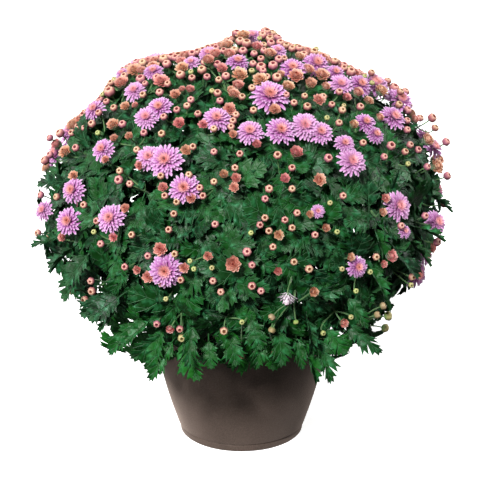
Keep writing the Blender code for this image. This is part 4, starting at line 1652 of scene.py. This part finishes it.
@dataclass
class Pot:
    """The moulded bowl pot: foot band, bowed wall, rolled lip, flat floor and drain holes."""

    height: float = 0.172
    wall: float = 0.0028
    floor: float = 0.004
    base_radius: float = 0.096
    foot_radius: float = 0.0985
    foot_height: float = 0.013
    foot_step: float = 0.001
    body_radius: float = 0.1000
    rim_radius: float = 0.1320
    lip_out: float = 0.0035
    lip_height: float = 0.007
    steps: int = 96
    drains: int = 5
    drain_radius: float = 0.006
    drain_ring: float = 0.060
    drill_depth: float = 0.01
    drill_steps: int = 24
    finish: Finish = field(default_factory=MouldedPolypropylene)

    def wall_radius(self, height: float) -> float:
        """The outer radius of the bowed wall."""
        share = (height - self.foot_height) / (self.height - self.lip_height - self.foot_height)
        return self.body_radius + (self.rim_radius - self.body_radius) * math.sin(math.pi / 2 * share)

    def wall_points(self, top: float, steps: int, inset: float) -> list[Pair]:
        """(radius, height) up the wall."""
        heights = [self.foot_height + (top - self.foot_height) * i / steps for i in range(steps + 1)]
        return [(self.wall_radius(height) - inset, height) for height in heights]

    def build(self) -> None:
        """Turns the pot, drills it and dresses it."""
        under = self.height - self.lip_height
        lip = self.rim_radius + self.lip_out
        bore = self.rim_radius - self.wall
        inside = [(0.0, self.floor), (self.base_radius - self.wall - 0.002, self.floor)]
        inside += [(self.base_radius - self.wall, self.floor + 0.002), *self.wall_points(under, 9, self.wall)]
        rim = [
            (bore, self.height - 0.0012), (bore + 0.001, self.height), (lip - 0.0015, self.height),
            (lip, self.height - 0.0015), (lip, under + 0.001), (lip - 0.001, under),
        ]
        outside = [*reversed(self.wall_points(under, 12, 0.0))]
        foot = [
            (self.foot_radius - 0.0004, self.foot_height - self.foot_step),
            (self.foot_radius, self.foot_height - 0.002), (self.foot_radius - 0.0008, 0.006),
            (self.base_radius + 0.001, 0.001), (self.base_radius, 0.0), (self.base_radius - 0.006, 0.0),
            (self.base_radius - 0.008, 0.0012), (0.0, 0.0012),
        ]
        shell = stand("pot_blank", lathe("pot_shell", inside + rim + outside + foot, self.steps))
        deep, wide = self.drill_depth, self.drain_radius
        drills = []
        for i in range(self.drains):
            drill = lathe("drill", [(0, -deep), (wide, -deep), (wide, deep), (0, deep)], self.drill_steps)
            way = direction_of(2 * math.pi * i / self.drains, 0.0)
            drill.transform(Matrix.Translation(way * self.drain_ring))
            drills.append(drill)
        kit = ShapeSet("drills", drills)
        cut = shell.modifiers.new("drains", "BOOLEAN")
        cut.operation = "DIFFERENCE"
        cut.operand_type = "COLLECTION"
        cut.collection = kit.group
        made = evaluated(shell, "pot_shell")
        kit.clear()
        shade(made.data, 35)
        made.data.materials.clear()
        made.data.materials.append(self.finish.material())
        declare(made, Slot.POT, "pot")


@dataclass
class Soil:
    """The potting soil: an uneven top that fills the pot, with loose crumbs on it."""

    pot: Pot
    top: float = 0.150
    gap: float = 0.0006
    steps: int = 72
    rings: int = 9
    uneven: float = 0.0035
    settled: float = 0.0015
    # Bumps: how many to a metre, and their share
    bumps: tuple[Pair, ...] = ((70.0, 1.0), (190.0, 0.6))
    crumb_shapes: int = 3
    crumb_rough: float = 0.3
    crumb_bumps: float = 1.7
    crumb_flat: float = 0.7
    crumb_room: float = 0.006
    crumb_density: float = 7000.0
    crumb_size: Pair = (0.0018, 0.0042)
    finish: Finish = field(default_factory=PeatMix)

    def build(self) -> None:
        """Builds the fill and its crumbs."""
        inset = self.pot.wall + self.gap
        low = self.pot.floor + self.gap
        profile = [(0.0, low), (self.pot.base_radius - inset, low)]
        profile += self.pot.wall_points(self.top, 6, inset)
        edge = profile[-1][0]
        profile += [(edge * (1 - (i + 1) / (self.rings + 1)), self.top) for i in range(self.rings)]
        profile.append((0.0, self.top))
        mesh = lathe("soil_fill", profile, self.steps)
        for vertex in mesh.vertices:
            if vertex.co.z > self.top - 1e-5:
                rough = sum(share * noise.noise(vertex.co * fine) for fine, share in self.bumps)
                vertex.co.z += self.uneven * rough - self.settled
        shade(mesh, 60)
        mesh.materials.append(self.finish.material())
        for piece in (stand("soil_fill", mesh), self.crumbs(mesh)):
            declare(piece, Slot.SOIL, "potting_soil")

    def crumbs(self, ground: Mesh) -> Thing:
        """Loose crumbs on the soil's upper face, placed by Geometry Nodes.

        Args:
            ground: the fill's mesh.

        Returns:
            The crumbs as one object.
        """
        shapes = []
        for i in range(self.crumb_shapes):
            body = bmesh.new()
            bmesh.ops.create_icosphere(body, subdivisions=1, radius=1.0)
            for vertex in body.verts:
                spot = vertex.co * self.crumb_bumps + Vector((i * 5.0, 0, 0))
                vertex.co *= 1 + self.crumb_rough * noise.noise(spot)
                vertex.co.z *= self.crumb_flat
            made = bpy.data.meshes.new(f"crumb_{i}")
            body.to_mesh(made)
            body.free()
            shapes.append(made)
        kit = ShapeSet("crumb_shapes", shapes)
        numbers = {
            "Density": self.crumb_density, "Smallest": self.crumb_size[0], "Largest": self.crumb_size[1],
            "Top": self.top - self.crumb_room,
        }
        inputs = {"Shapes": "Collection", "Seed": "Int", "Finish": "Material"}
        tool = NodeTool("soil_crumbs", {**inputs, **{label: "Float" for label in numbers}})
        pad, given = tool.pad, tool.given
        place = pad.node("GeometryNodeInputPosition")
        height = pad.node("ShaderNodeSeparateXYZ", {0: place}, take="Z")
        upper = pad.node("FunctionNodeCompare", {0: height, 1: given("Top")}, operation="GREATER_THAN")
        inputs = {"Mesh": given("Geometry"), "Selection": upper}
        inputs |= {name: given(name) for name in ("Density", "Seed")}
        spread = pad.node("GeometryNodeDistributePointsOnFaces", inputs).node.outputs
        inputs = {2: given("Smallest"), 3: given("Largest"), "Seed": given("Seed")}
        size = pad.node("FunctionNodeRandomValue", inputs, data_type="FLOAT")
        tool.strew(spread["Points"], {"Rotation": spread["Rotation"], "Scale": size})
        values = {**numbers, "Shapes": kit.group, "Seed": DRESS_SEED, "Finish": self.finish.material()}
        made = tool.run("soil_crumbs", ground.copy(), values)
        kit.clear()
        return made


@dataclass
class Stalks:
    """The stems, the shoots' branches and the stalk of every head."""

    plan: BushPlan
    tubes: Tubes
    soil_top: float = 0.150
    stem_rise: float = 0.006
    stem_lean: float = 1.25
    stem_knee: float = 0.45
    stem_age: float = 0.75
    branch_rise: float = 0.10
    branch_age: float = 0.2
    head_knee: float = 0.45
    depth: float = 0.028
    foot: float = 0.0048
    core: float = 0.0034
    branch: float = 0.0024
    tip: float = 0.0015
    head: float = 0.0010
    steps: int = 6
    sides: int = 6
    foot_of: tuple[float, ...] = (0.36, 0.70, 0.80)

    def stem_line(self, stem: Stem) -> Line:
        """A stem from its hole in the soil, bending out to where its shoots part."""
        foot = stem.foot + Vector((0, 0, self.soil_top + self.stem_rise))
        rise = self.soil_top + self.stem_knee * (stem.core.z - self.soil_top)
        knee = Vector((stem.foot.x * self.stem_lean, stem.foot.y * self.stem_lean, rise))
        start = stem.foot + Vector((0, 0, self.soil_top - self.depth))
        points = [start, *bend(foot, knee, stem.core, self.steps * 2)]
        line = []
        for i, point in enumerate(points):
            share = i / (len(points) - 1)
            line.append((point, self.foot + (self.core - self.foot) * share, self.stem_age * (1 - share)))
        return line

    def branch_line(self, stem: Stem, shoot: Shoot) -> Line:
        """A branch from a stem's upper end to a shoot's tip."""
        arm = shoot.tip - stem.core
        up = Vector((0, 0, self.branch_rise * arm.length))
        knee = stem.core + arm * 0.5 + up - shoot.out * self.branch_rise * arm.length
        line = []
        for i, point in enumerate(bend(stem.core, knee, shoot.tip, self.steps)):
            share = i / self.steps
            thick = self.branch + (self.tip - self.branch) * share
            line.append((point, thick, self.branch_age * (1 - share)))
        return line

    def head_line(self, head: Head, shoot: Shoot) -> Line:
        """A head's stalk, which bends into the way that the head faces."""
        end = head.place - head.way * head.radius * self.foot_of[head.stage.value]
        knee = end - head.way * (end - shoot.tip).length * self.head_knee
        return [(point, self.head, 0.0) for point in bend(shoot.tip, knee, end, self.steps)]

    def build(self) -> None:
        """Builds one piece for each stem."""
        shoots = self.plan.shoots
        for i, stem in enumerate(self.plan.stems):
            lines = [self.stem_line(stem)]
            lines += [self.branch_line(stem, shoot) for shoot in shoots if shoot.stem == i]
            own = [head for head in self.plan.heads if shoots[head.shoot].stem == i]
            lines += [self.head_line(head, shoots[head.shoot]) for head in own]
            name = f"stem_{i + 1:02d}_stalks"
            values = {"Sides": self.sides, "Finish": SKIN.material()}
            made = self.tubes.run(name, line_mesh(name, lines), values)
            shade(made.data, 60)
            declare(made, Slot.GREEN, f"leafy_stem_{i + 1:02d}")


@dataclass
class Foliage:
    """The leaves: a rosette round each shoot's tip, and a deeper layer, darkened with painted shade, that
    fills the bush.
    """

    plan: BushPlan
    scatter: Scatter
    pot: Pot
    rosette: tuple[int, int] = (5, 6)
    last_size: float = 0.78
    length: Pair = (0.046, 0.068)
    inner_leaves: int = 110
    inner_range: Pair = (-42.0, 85.0)
    inner_shares: Pair = (0.66, 0.76)
    # Inner leaves take this share of the painted shade, and core leaves all of it
    inner_painted_shade: float = 0.75
    inner_length: Pair = (0.070, 0.092)
    core_leaves: int = 46
    core_range: Pair = (-70.0, 85.0)
    core_length: float = 0.105
    core_shares: tuple[float, ...] = (0.50, 0.38, 0.44)
    core_shape: int = 2
    hang: float = 0.60
    lift: Pair = (-0.05, 0.42)
    lift_step: float = 0.06
    roll: float = 0.45
    swing: float = 0.35
    root_depth: float = 0.018
    # Sample places on a blade: out from its rib and along it. The first three are its outer ones
    spots: tuple[Pair, ...] = (
        (0.0, 1.0), (0.3, 0.62), (-0.3, 0.62), (0.0, 0.25), (0.0, 0.5), (0.0, 0.75), (0.22, 0.3),
        (-0.22, 0.3), (0.16, 0.85), (-0.16, 0.85),
    )
    # Leaves are a brighter green from this height down, over this span
    low_green_from: float = 0.30
    low_green_span: float = 0.14
    low_green_tint: float = 0.75
    stray_tint: float = 0.25
    # Where the dome is nearer to level than this, leaves hang outwards, not down
    steep: float = 0.25
    tries: int = 9
    ceiling: Pair = (0.97, 1.10)
    edge_shapes: tuple[int, ...] = (4, 6, 6)
    pot_clear: Pair = (0.012, 0.040)
    edge_share: float = 0.94
    edge_lift: float = 0.35
    edge_roll: float = 0.55
    past_outline: Pair = (-0.010, 0.008)
    skirt_leaves: int = 44
    skirt_lift: Pair = (-60.0, -38.0)
    skirt_length: Pair = (0.046, 0.062)
    skirt_share: float = 0.92
    skirt_swing: float = 0.3
    skirt_out: Pair = (0.5, 1.3)
    skirt_down: Pair = (0.5, 1.0)
    skirt_front: float = -0.25
    sway: float = 0.06
    swell: float = 0.06
    # Room round a head, how far ahead its front is, and room round that, in radii
    room: tuple[tuple[float, ...], ...] = ((0.92, 0.30, 0.85), (1.10, 1.20, 1.0), (1.20, 1.50, 1.0))
    shapes: tuple[LeafShape, ...] = (
        LeafShape(cut=0.35, droop=0.30, fold=0.14, twist=0.05, wide=1.05),
        LeafShape(cut=0.55, droop=0.55, fold=0.22, twist=-0.10),
        LeafShape(cut=0.15, droop=0.15, fold=0.10, sag=0.8, twist=0.14, wide=1.15),
        LeafShape(cut=0.40, droop=0.85, fold=0.28, sag=0.3, twist=-0.06, wide=1.05),
        LeafShape(cut=0.80, droop=0.40, fold=0.42, sag=1.1, twist=0.10, wide=1.10),
        LeafShape(cut=0.30, droop=-0.10, fold=0.20, sag=1.0, twist=-0.16, wide=0.95),
        LeafShape(cut=0.90, droop=0.35, fold=0.70, sag=0.4, twist=0.08, wide=0.66),
    )

    def facing(self, axis: Vector, normal: Vector) -> Quaternion:
        """The turn that lays a blade's length on one vector and its face to another."""
        side = axis.cross(normal).normalized()
        return Matrix((side, axis, side.cross(axis))).transposed().to_quaternion()

    def clear_of(self, samples: list[Vector], spheres: np.ndarray) -> bool:
        """Whether a leaf's sample points keep out of the heads and of the pot."""
        points = np.array([tuple(sample) for sample in samples])
        gaps = np.linalg.norm(points[:, None, :] - spheres[None, :, :3], axis=2)
        if (gaps < spheres[None, :, 3]).any():
            return False
        for sample in samples:
            around = math.hypot(sample.x, sample.y)
            above, aside = self.pot_clear
            if sample.z < self.pot.height + above and around < self.pot.rim_radius + aside:
                return False
        return True

    def leaf(
        self, shoot: Shoot, turn: float, size: float, deep: float, spheres: np.ndarray
    ) -> Values | None:
        """Tries a leaf at a shoot's tip until it is clear.

        Args:
            shoot: the shoot.
            turn: the angle round it.
            size: the blade's length.
            deep: how much painted shade its colour takes, for a dark place, from 0 to 1.
            spheres: places and radii to keep out of.

        Returns:
            The leaf's row for the scatter tree, or None.
        """
        chance, out = self.plan.chance, shoot.out
        first = out.orthogonal().normalized()
        down = Vector((0, 0, -1)) + out * out.z
        down = down.normalized() if down.length > self.steep else Vector((out.x, out.y, 0)).normalized()
        for attempt in range(self.tries):
            around = Matrix.Rotation(turn + chance.uniform(-self.swing, self.swing), 3, out) @ first
            lift = chance.uniform(*self.lift) - self.lift_step * attempt
            axis = (around + down * self.hang + out * lift).normalized()
            normal = (out - axis * axis.dot(out)).normalized()
            normal = Matrix.Rotation(chance.uniform(-self.roll, self.roll), 3, axis) @ normal
            side = axis.cross(normal)
            root = shoot.tip - out * chance.uniform(0.0, self.root_depth)
            kind = chance.randrange(len(self.shapes))
            height = self.shapes[kind].height
            samples = [
                root + (axis * (LEAF_STALK + b) + side * a + normal * height(a, b)) * size
                for a, b in self.spots
            ]
            top = max(0.0, out.z)
            ceiling = self.ceiling[1] + (self.ceiling[0] - self.ceiling[1]) * top
            past = chance.uniform(*self.past_outline)
            seen = all(self.plan.view.inside(sample, past) for sample in samples[:3])
            if seen and self.plan.dome.share(samples[0]) < ceiling and self.clear_of(samples, spheres):
                return self.row(root, axis, normal, size, deep, kind)
        return None

    def row(
        self, root: Vector, axis: Vector, normal: Vector, size: float, deep: float, kind: int
    ) -> Values:
        """A leaf's row for the scatter tree. Leaves are a brighter green low down."""
        low = max(0.0, min(1.0, (self.low_green_from - root.z) / self.low_green_span))
        tint = min(1.0, self.low_green_tint * low + self.plan.chance.uniform(0.0, self.stray_tint))
        facing = self.facing(axis, normal)
        return {"place": root, "facing": facing, "size": size, "shape": kind, "deep": deep, "tint": tint}

    def core_leaf(self, number: int, way: Vector) -> Values:
        """A large leaf in full painted shade in the middle of the bush, which keeps daylight from showing
        through it.

        Args:
            number: its number, which sets its depth and its turn.
            way: the way to it from the dome's middle.

        Returns:
            The leaf's row for the scatter tree.
        """
        place = self.plan.dome.place(way, self.core_shares[number % len(self.core_shares)])
        out = self.plan.dome.out(place)
        axis = Matrix.Rotation(number * GOLDEN_ANGLE, 3, out) @ out.orthogonal().normalized()
        root = place - axis * self.core_length * (LEAF_STALK + 0.5)
        # Full painted shade
        looks = {"size": self.core_length, "shape": self.core_shape, "deep": 1.0, "tint": 0.0}
        return {"place": root, "facing": self.facing(axis, out), **looks}

    def edge_leaf(self, root: Vector, tip: Vector) -> Values:
        """A leaf from its root to its tip, facing outwards, in one of the deeply cut shapes."""
        arm = tip - root
        axis = arm.normalized()
        chance = self.plan.chance
        out = self.plan.dome.out(root) + Vector((0, 0, self.edge_lift))
        normal = (out - axis * axis.dot(out)).normalized()
        normal = Matrix.Rotation(chance.uniform(-self.edge_roll, self.edge_roll), 3, axis) @ normal
        kind = chance.choice(self.edge_shapes)
        return self.row(root, axis, normal, arm.length / (1 + LEAF_STALK), 0.0, kind)

    def edge_leaves(self) -> list[Values]:
        """The leaves of the lower edge: those that the picture shows, and a skirt all round."""
        view, dome, chance = self.plan.view, self.plan.dome, self.plan.chance
        made = []
        for root, tip in EDGE_LEAVES:
            start = view.place(dome, *root)
            start = dome.middle + (start - dome.middle) * self.edge_share
            made.append(self.edge_leaf(start, view.beside(start, *tip)))
        step = 2 * math.pi / self.skirt_leaves
        for i in range(self.skirt_leaves):
            lift = math.radians(chance.uniform(*self.skirt_lift))
            way = direction_of(step * (i + chance.uniform(-self.skirt_swing, self.skirt_swing)), lift)
            root = dome.place(way, self.skirt_share)
            flat = Vector((way.x, way.y, 0)).normalized()
            arm = flat * chance.uniform(*self.skirt_out) - Vector((0, 0, chance.uniform(*self.skirt_down)))
            tip = root + arm.normalized() * chance.uniform(*self.skirt_length) * (1 + LEAF_STALK)
            clear = math.hypot(tip.x, tip.y) > self.pot.rim_radius + self.pot_clear[0]
            if clear and way.y > self.skirt_front and view.inside(tip):
                made.append(self.edge_leaf(root, tip))
        return made

    def head_spheres(self) -> np.ndarray:
        """Two spheres round each head that leaves keep out of: its place, and in front of it."""
        balls = []
        for head in self.plan.heads:
            round_it, ahead, front = self.room[head.stage.value]
            balls.append((*head.place, head.radius * round_it))
            balls.append((*(head.place + head.way * head.radius * ahead), head.radius * front))
        return np.array(balls)

    def build(self) -> None:
        """Builds one piece of leaves for each stem."""
        plan, chance, spheres = self.plan, self.plan.chance, self.head_spheres()
        kit = ShapeSet("leaf_shapes", [shape.mesh(f"leaf_{i}") for i, shape in enumerate(self.shapes)])
        rows: list[list[Values]] = [[] for _ in plan.stems]
        for shoot in plan.shoots:
            if not shoot.leafy:
                continue
            count = chance.randint(*self.rosette)
            begin = chance.uniform(0, 2 * math.pi)
            for k in range(count):
                share = self.last_size + (1 - self.last_size) * (1 - k / count)
                size = chance.uniform(*self.length) * share
                found = self.leaf(shoot, begin + k * GOLDEN_ANGLE, size, 0.0, spheres)
                if found:
                    rows[shoot.stem].append(found)
        for way in spiral(self.inner_leaves, *self.inner_range):
            place = plan.dome.place(way, chance.uniform(*self.inner_shares))
            inner = Shoot(place, plan.dome.out(place), plan.nearest_stem(place))
            size = chance.uniform(*self.inner_length)
            found = self.leaf(inner, chance.uniform(0, 2 * math.pi), size, self.inner_painted_shade, spheres)
            if found:
                rows[inner.stem].append(found)
        core = [self.core_leaf(i, way) for i, way in enumerate(spiral(self.core_leaves, *self.core_range))]
        for found in self.edge_leaves() + core:
            rows[plan.nearest_stem(found["place"])].append(found)
        values = {"Shapes": kit.group, "Sway": self.sway, "Swell": self.swell, "Finish": LEAF.material()}
        for i, leaves in enumerate(rows):
            name = f"stem_{i + 1:02d}_leaves"
            made = self.scatter.run(name, point_mesh(name, leaves), {**values, "Seed": DRESS_SEED + i})
            declare(made, Slot.GREEN, f"leafy_stem_{i + 1:02d}")
        kit.clear()


@dataclass
class Flowers:
    """Every head: open blooms, half-open heads and buds, with the green cups under them."""

    plan: BushPlan
    scatter: Scatter
    whorls: Whorls
    core: float = 0.30
    core_drop: float = 0.06
    bloom_scale: float = 1.06
    bud_kinds: int = 3
    hue_span: Pair = (-1.0, 0.9)
    # Petals from the outermost row to the heart
    flat_petals: tuple[PetalShape, ...] = (
        PetalShape(width=0.112, start=0.12, bend=-0.60, cup=0.30),
        PetalShape(width=0.116, start=0.06, bend=-0.25, cup=0.40),
        PetalShape(width=0.136, start=0.0, bend=0.45, cup=0.50, rows=SHORT_PETAL),
        PetalShape(width=0.180, start=0.0, bend=0.7, cup=0.60, rows=SHORT_PETAL),
    )
    curled_petals: tuple[PetalShape, ...] = (
        PetalShape(width=0.330, start=-0.10, bend=0.80, cup=0.45, rows=BALL_PETAL),
        PetalShape(width=0.310, start=-0.05, bend=0.90, cup=0.45, rows=BALL_PETAL),
        PetalShape(width=0.300, start=0.00, bend=1.00, cup=0.50, rows=BALL_PETAL),
    )
    cup_size: tuple[float, ...] = (0.34, 0.66, 0.84)
    cup_drop: tuple[float, ...] = (0.16, 0.42, 0.30)

    def head_shapes(self, name: str, petals: tuple[PetalShape, ...], looks: list[Values]) -> ShapeSet:
        """Runs the whorl tree once for each look of a head.

        Args:
            name: the set's name.
            petals: the petals' shapes, from the outermost row to the heart.
            looks: the tree's inputs for each look, besides the petals' shapes.

        Returns:
            The heads' shapes, of unit radius.
        """
        kit = ShapeSet(f"{name}_petals", [shape.mesh(f"{name}_petal_{i}") for i, shape in enumerate(petals)])
        meshes = []
        for i, look in enumerate(looks):
            values = {"Shapes": kit.group, "Kinds": kit.count, **look}
            made = self.whorls.run(f"{name}_{i}", bpy.data.meshes.new("empty"), values)
            meshes.append(made.data)
            bpy.data.objects.remove(made)
        kit.clear()
        return ShapeSet(f"{name}_shapes", meshes)

    def bloom_shapes(self) -> ShapeSet:
        """Double blooms, flat outside and upright at the heart, and last a closed one that nods."""
        look = {
            "Petals": 140, "Foot Radius": 0.20, "Foot Low": -0.22, "Foot High": 0.10, "Tilt High": 0.95,
            "Tilt Power": 0.80, "Long": 1.04, "Short": 0.22, "Jitter": 0.10, "Finish": LILAC.material(),
        }
        tilts = (-0.05, 0.0, 0.05, 0.10, 0.62)
        looks = [{**look, "Tilt Low": tilt, "Seed": DRESS_SEED + i} for i, tilt in enumerate(tilts)]
        looks[-1] |= {"Petals": 44, "Tilt High": 1.25, "Foot Low": -0.45, "Short": 0.7}
        return self.head_shapes("bloom", self.flat_petals, looks)

    def half_shapes(self) -> ShapeSet:
        """Half-open heads: a ball of short petals that curl up in rings round a dark eye."""
        look = {
            "Petals": 54, "Foot Radius": 0.40, "Foot Low": -0.40, "Foot High": 0.18, "Tilt High": 0.85,
            "Tilt Power": 1.0, "Long": 0.72, "Short": 0.34, "Jitter": 0.04, "Finish": CORAL.material(),
        }
        tilts = (0.25, 0.47, 0.69)
        looks = [{**look, "Tilt Low": tilt, "Seed": HALF_SEED + i} for i, tilt in enumerate(tilts)]
        return self.head_shapes("half", self.curled_petals, looks)

    def row(self, head: Head, kinds: int) -> Values:
        """A head's row for the scatter tree."""
        chance, full = self.plan.chance, head.stage is Stage.OPEN
        spin = Quaternion((0, 0, 1), chance.uniform(0, 2 * math.pi))
        return {
            "place": head.place, "facing": head.way.to_track_quat("Z", "Y") @ spin,
            "size": head.radius * (self.bloom_scale if full else 1.0),
            "shape": kinds if head.pale else chance.randrange(kinds), "tint": head.tint, "pale": head.pale,
            "hue": 0.0 if full else chance.uniform(*self.hue_span),
        }

    def look(self, head: Head) -> Stage:
        """The stage that a head looks like: a salmon one has a half-open head's curled petals."""
        return Stage.HALF if head.salmon else head.stage

    def bud_rows(self, heads: list[Head], kinds: int) -> list[Values]:
        """The rows of the buds, and of the closed core inside each half-open or salmon head."""
        made = []
        for head in heads:
            if head.stage is Stage.BUD:
                made.append(self.row(head, kinds))
            elif head.stage is Stage.HALF or head.salmon:
                place = head.place - head.way * head.radius * self.core_drop
                made.append(self.row(Head(Stage.BUD, place, head.way, head.radius * self.core), kinds))
        return made

    def cup_row(self, head: Head) -> Values:
        """The row of the green cup under a head."""
        place = head.place - head.way * head.radius * self.cup_drop[head.stage.value]
        size = head.radius * self.cup_size[head.stage.value]
        return {**self.row(head, 1), "shape": 0, "place": place, "size": size, "age": 0.0}

    def lay(self, name: str, rows: list[Values], kit: ShapeSet, finish: Finish, node: str) -> None:
        """Makes a piece of the shapes that rows ask for, if there are any.

        Args:
            name: the piece's name.
            rows: the rows for the scatter tree.
            kit: the shapes.
            finish: their finish.
            node: the CAD node that the piece stands for.
        """
        if rows:
            values = {"Shapes": kit.group, "Sway": 0.0, "Swell": 0.0, "Seed": DRESS_SEED}
            values["Finish"] = finish.material()
            made = self.scatter.run(name, point_mesh(name, rows), values)
            declare(made, Slot.GREEN if finish is SKIN else Slot.PETALS, node)

    def build(self) -> None:
        """Builds the blooms' pieces by node, and the other heads and the cups by stem."""
        heads, shoots = self.plan.heads, self.plan.shoots
        blooms, halves = self.bloom_shapes(), self.half_shapes()
        flat = blooms.count - 1
        shapes = [bud_mesh(f"bud_{i}", i / (self.bud_kinds - 1)) for i in range(self.bud_kinds)]
        buds, cups = ShapeSet("bud_shapes", shapes), ShapeSet("cup_shapes", [cup_mesh("cup")])
        for head in heads:
            if head.stage is not Stage.BUD:
                head.tint = self.plan.chance.uniform(0.0, 1.0)
        looks = (("petals", False, blooms, LILAC, flat), ("curled_petals", True, halves, CORAL, halves.count))
        for node in sorted({head.node for head in heads if head.node}):
            for label, salmon, kit, finish, kinds in looks:
                rows = [self.row(h, kinds) for h in heads if h.node == node and h.salmon is salmon]
                self.lay(f"{node}_{label}", rows, kit, finish, node)
        for i in range(len(self.plan.stems)):
            stem, node = f"stem_{i + 1:02d}", f"leafy_stem_{i + 1:02d}"
            own = [head for head in heads if shoots[head.shoot].stem == i]
            loose = [head for head in own if not head.node]
            rows = [self.row(head, flat) for head in loose if self.look(head) is Stage.OPEN]
            self.lay(f"{stem}_blooms", rows, blooms, LILAC, node)
            rows = [self.row(head, halves.count) for head in loose if self.look(head) is Stage.HALF]
            self.lay(f"{stem}_half_open", rows, halves, CORAL, node)
            self.lay(f"{stem}_buds", self.bud_rows(own, buds.count), buds, BUD, node)
            self.lay(f"{stem}_cups", [self.cup_row(head) for head in own], cups, SKIN, node)
        for kit in (blooms, halves, buds, cups):
            kit.clear()


@dataclass
class Studio:
    """A pale floor and soft white light."""

    floor_size: float = 24.0
    sky: float = 0.17
    ground: float = 0.05
    floor_glow: float = 0.62
    sky_edge: float = 0.4
    # Each light: where it stands, its strength, and how wide it looks in degrees
    lights: tuple[tuple[tuple[float, float, float], float, float], ...] = (
        ((-0.55, -1.25, 1.12), 4.7, 12.0),
        ((-1.0, 0.55, 0.70), 1.7, 40.0),
        ((1.0, 0.55, 0.70), 2.0, 40.0),
        ((-1.2, -0.8, 0.25), 0.4, 50.0),
    )

    def build(self) -> None:
        """Makes the floor, the sky and the lights."""
        body = bmesh.new()
        bmesh.ops.create_grid(body, x_segments=4, y_segments=4, size=self.floor_size / 2)
        mesh = bpy.data.meshes.new("floor")
        body.to_mesh(mesh)
        body.free()
        paper = bpy.data.materials.new("white_paper")
        paper.use_nodes = True
        shader = paper.node_tree.nodes["Principled BSDF"]
        colours = {"Base Color": linear("F4F4F3"), "Emission Color": linear("FFFFFF")}
        for name, value in {**colours, "Roughness": 0.9, "Emission Strength": self.floor_glow}.items():
            shader.inputs[name].default_value = value
        mesh.materials.append(paper)
        floor = stand("floor", mesh)
        floor.visible_diffuse = False
        floor.visible_glossy = False
        floor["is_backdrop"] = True
        world = bpy.data.worlds.new("studio")
        world.use_nodes = True
        pad = NodePad(world.node_tree)
        back = world.node_tree.nodes["Background"]
        back.inputs[0].default_value = linear("FFFFFF")
        way = pad.node("ShaderNodeTexCoord", take="Generated")
        high = pad.node("ShaderNodeSeparateXYZ", {0: way}, take="Z")
        inputs = {"Value": high, "From Min": -self.sky_edge, "From Max": self.sky_edge}
        light = pad.node("ShaderNodeMapRange", {**inputs, "To Min": self.ground, "To Max": self.sky})
        seen = pad.node("ShaderNodeLightPath", take="Is Camera Ray")
        world.node_tree.links.new(pad.sum("MAXIMUM", light, seen), back.inputs[1])
        bpy.context.scene.world = world
        for place, strength, angle in self.lights:
            lamp = bpy.data.lights.new("softbox", "SUN")
            lamp.energy = strength
            lamp.angle = math.radians(angle)
            stand("softbox", lamp).rotation_euler = Vector(place).to_track_quat("Z", "Y").to_euler()
        bpy.context.scene.view_settings.view_transform = "Standard"
        bpy.context.scene.view_settings.look = "None"


def main() -> None:
    """Builds the sub-assemblies in order and logs each piece."""
    logging.basicConfig(level=logging.INFO, format="%(message)s")
    plan = BushPlan(random.Random(DRESS_SEED))
    plan.view.camera()
    Studio().build()
    pot = Pot()
    pot.build()
    Soil(pot).build()
    plan.grow()
    log.info("%d heads on %d shoots", len(plan.heads), len(plan.shoots))
    Stalks(plan, Tubes()).build()
    scatter = Scatter()
    Foliage(plan, scatter, pot).build()
    Flowers(plan, scatter, Whorls()).build()
    total = sum(len(p.vertices) - 2 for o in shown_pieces() for p in o.data.polygons)
    log.info("%d pieces, %d triangles", len(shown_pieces()), total)
    loose = sum(head.stage is Stage.OPEN and not head.node for head in plan.heads)
    log.info("open blooms outside a bloom node: %d", loose)


if __name__ == "__main__":
    main()
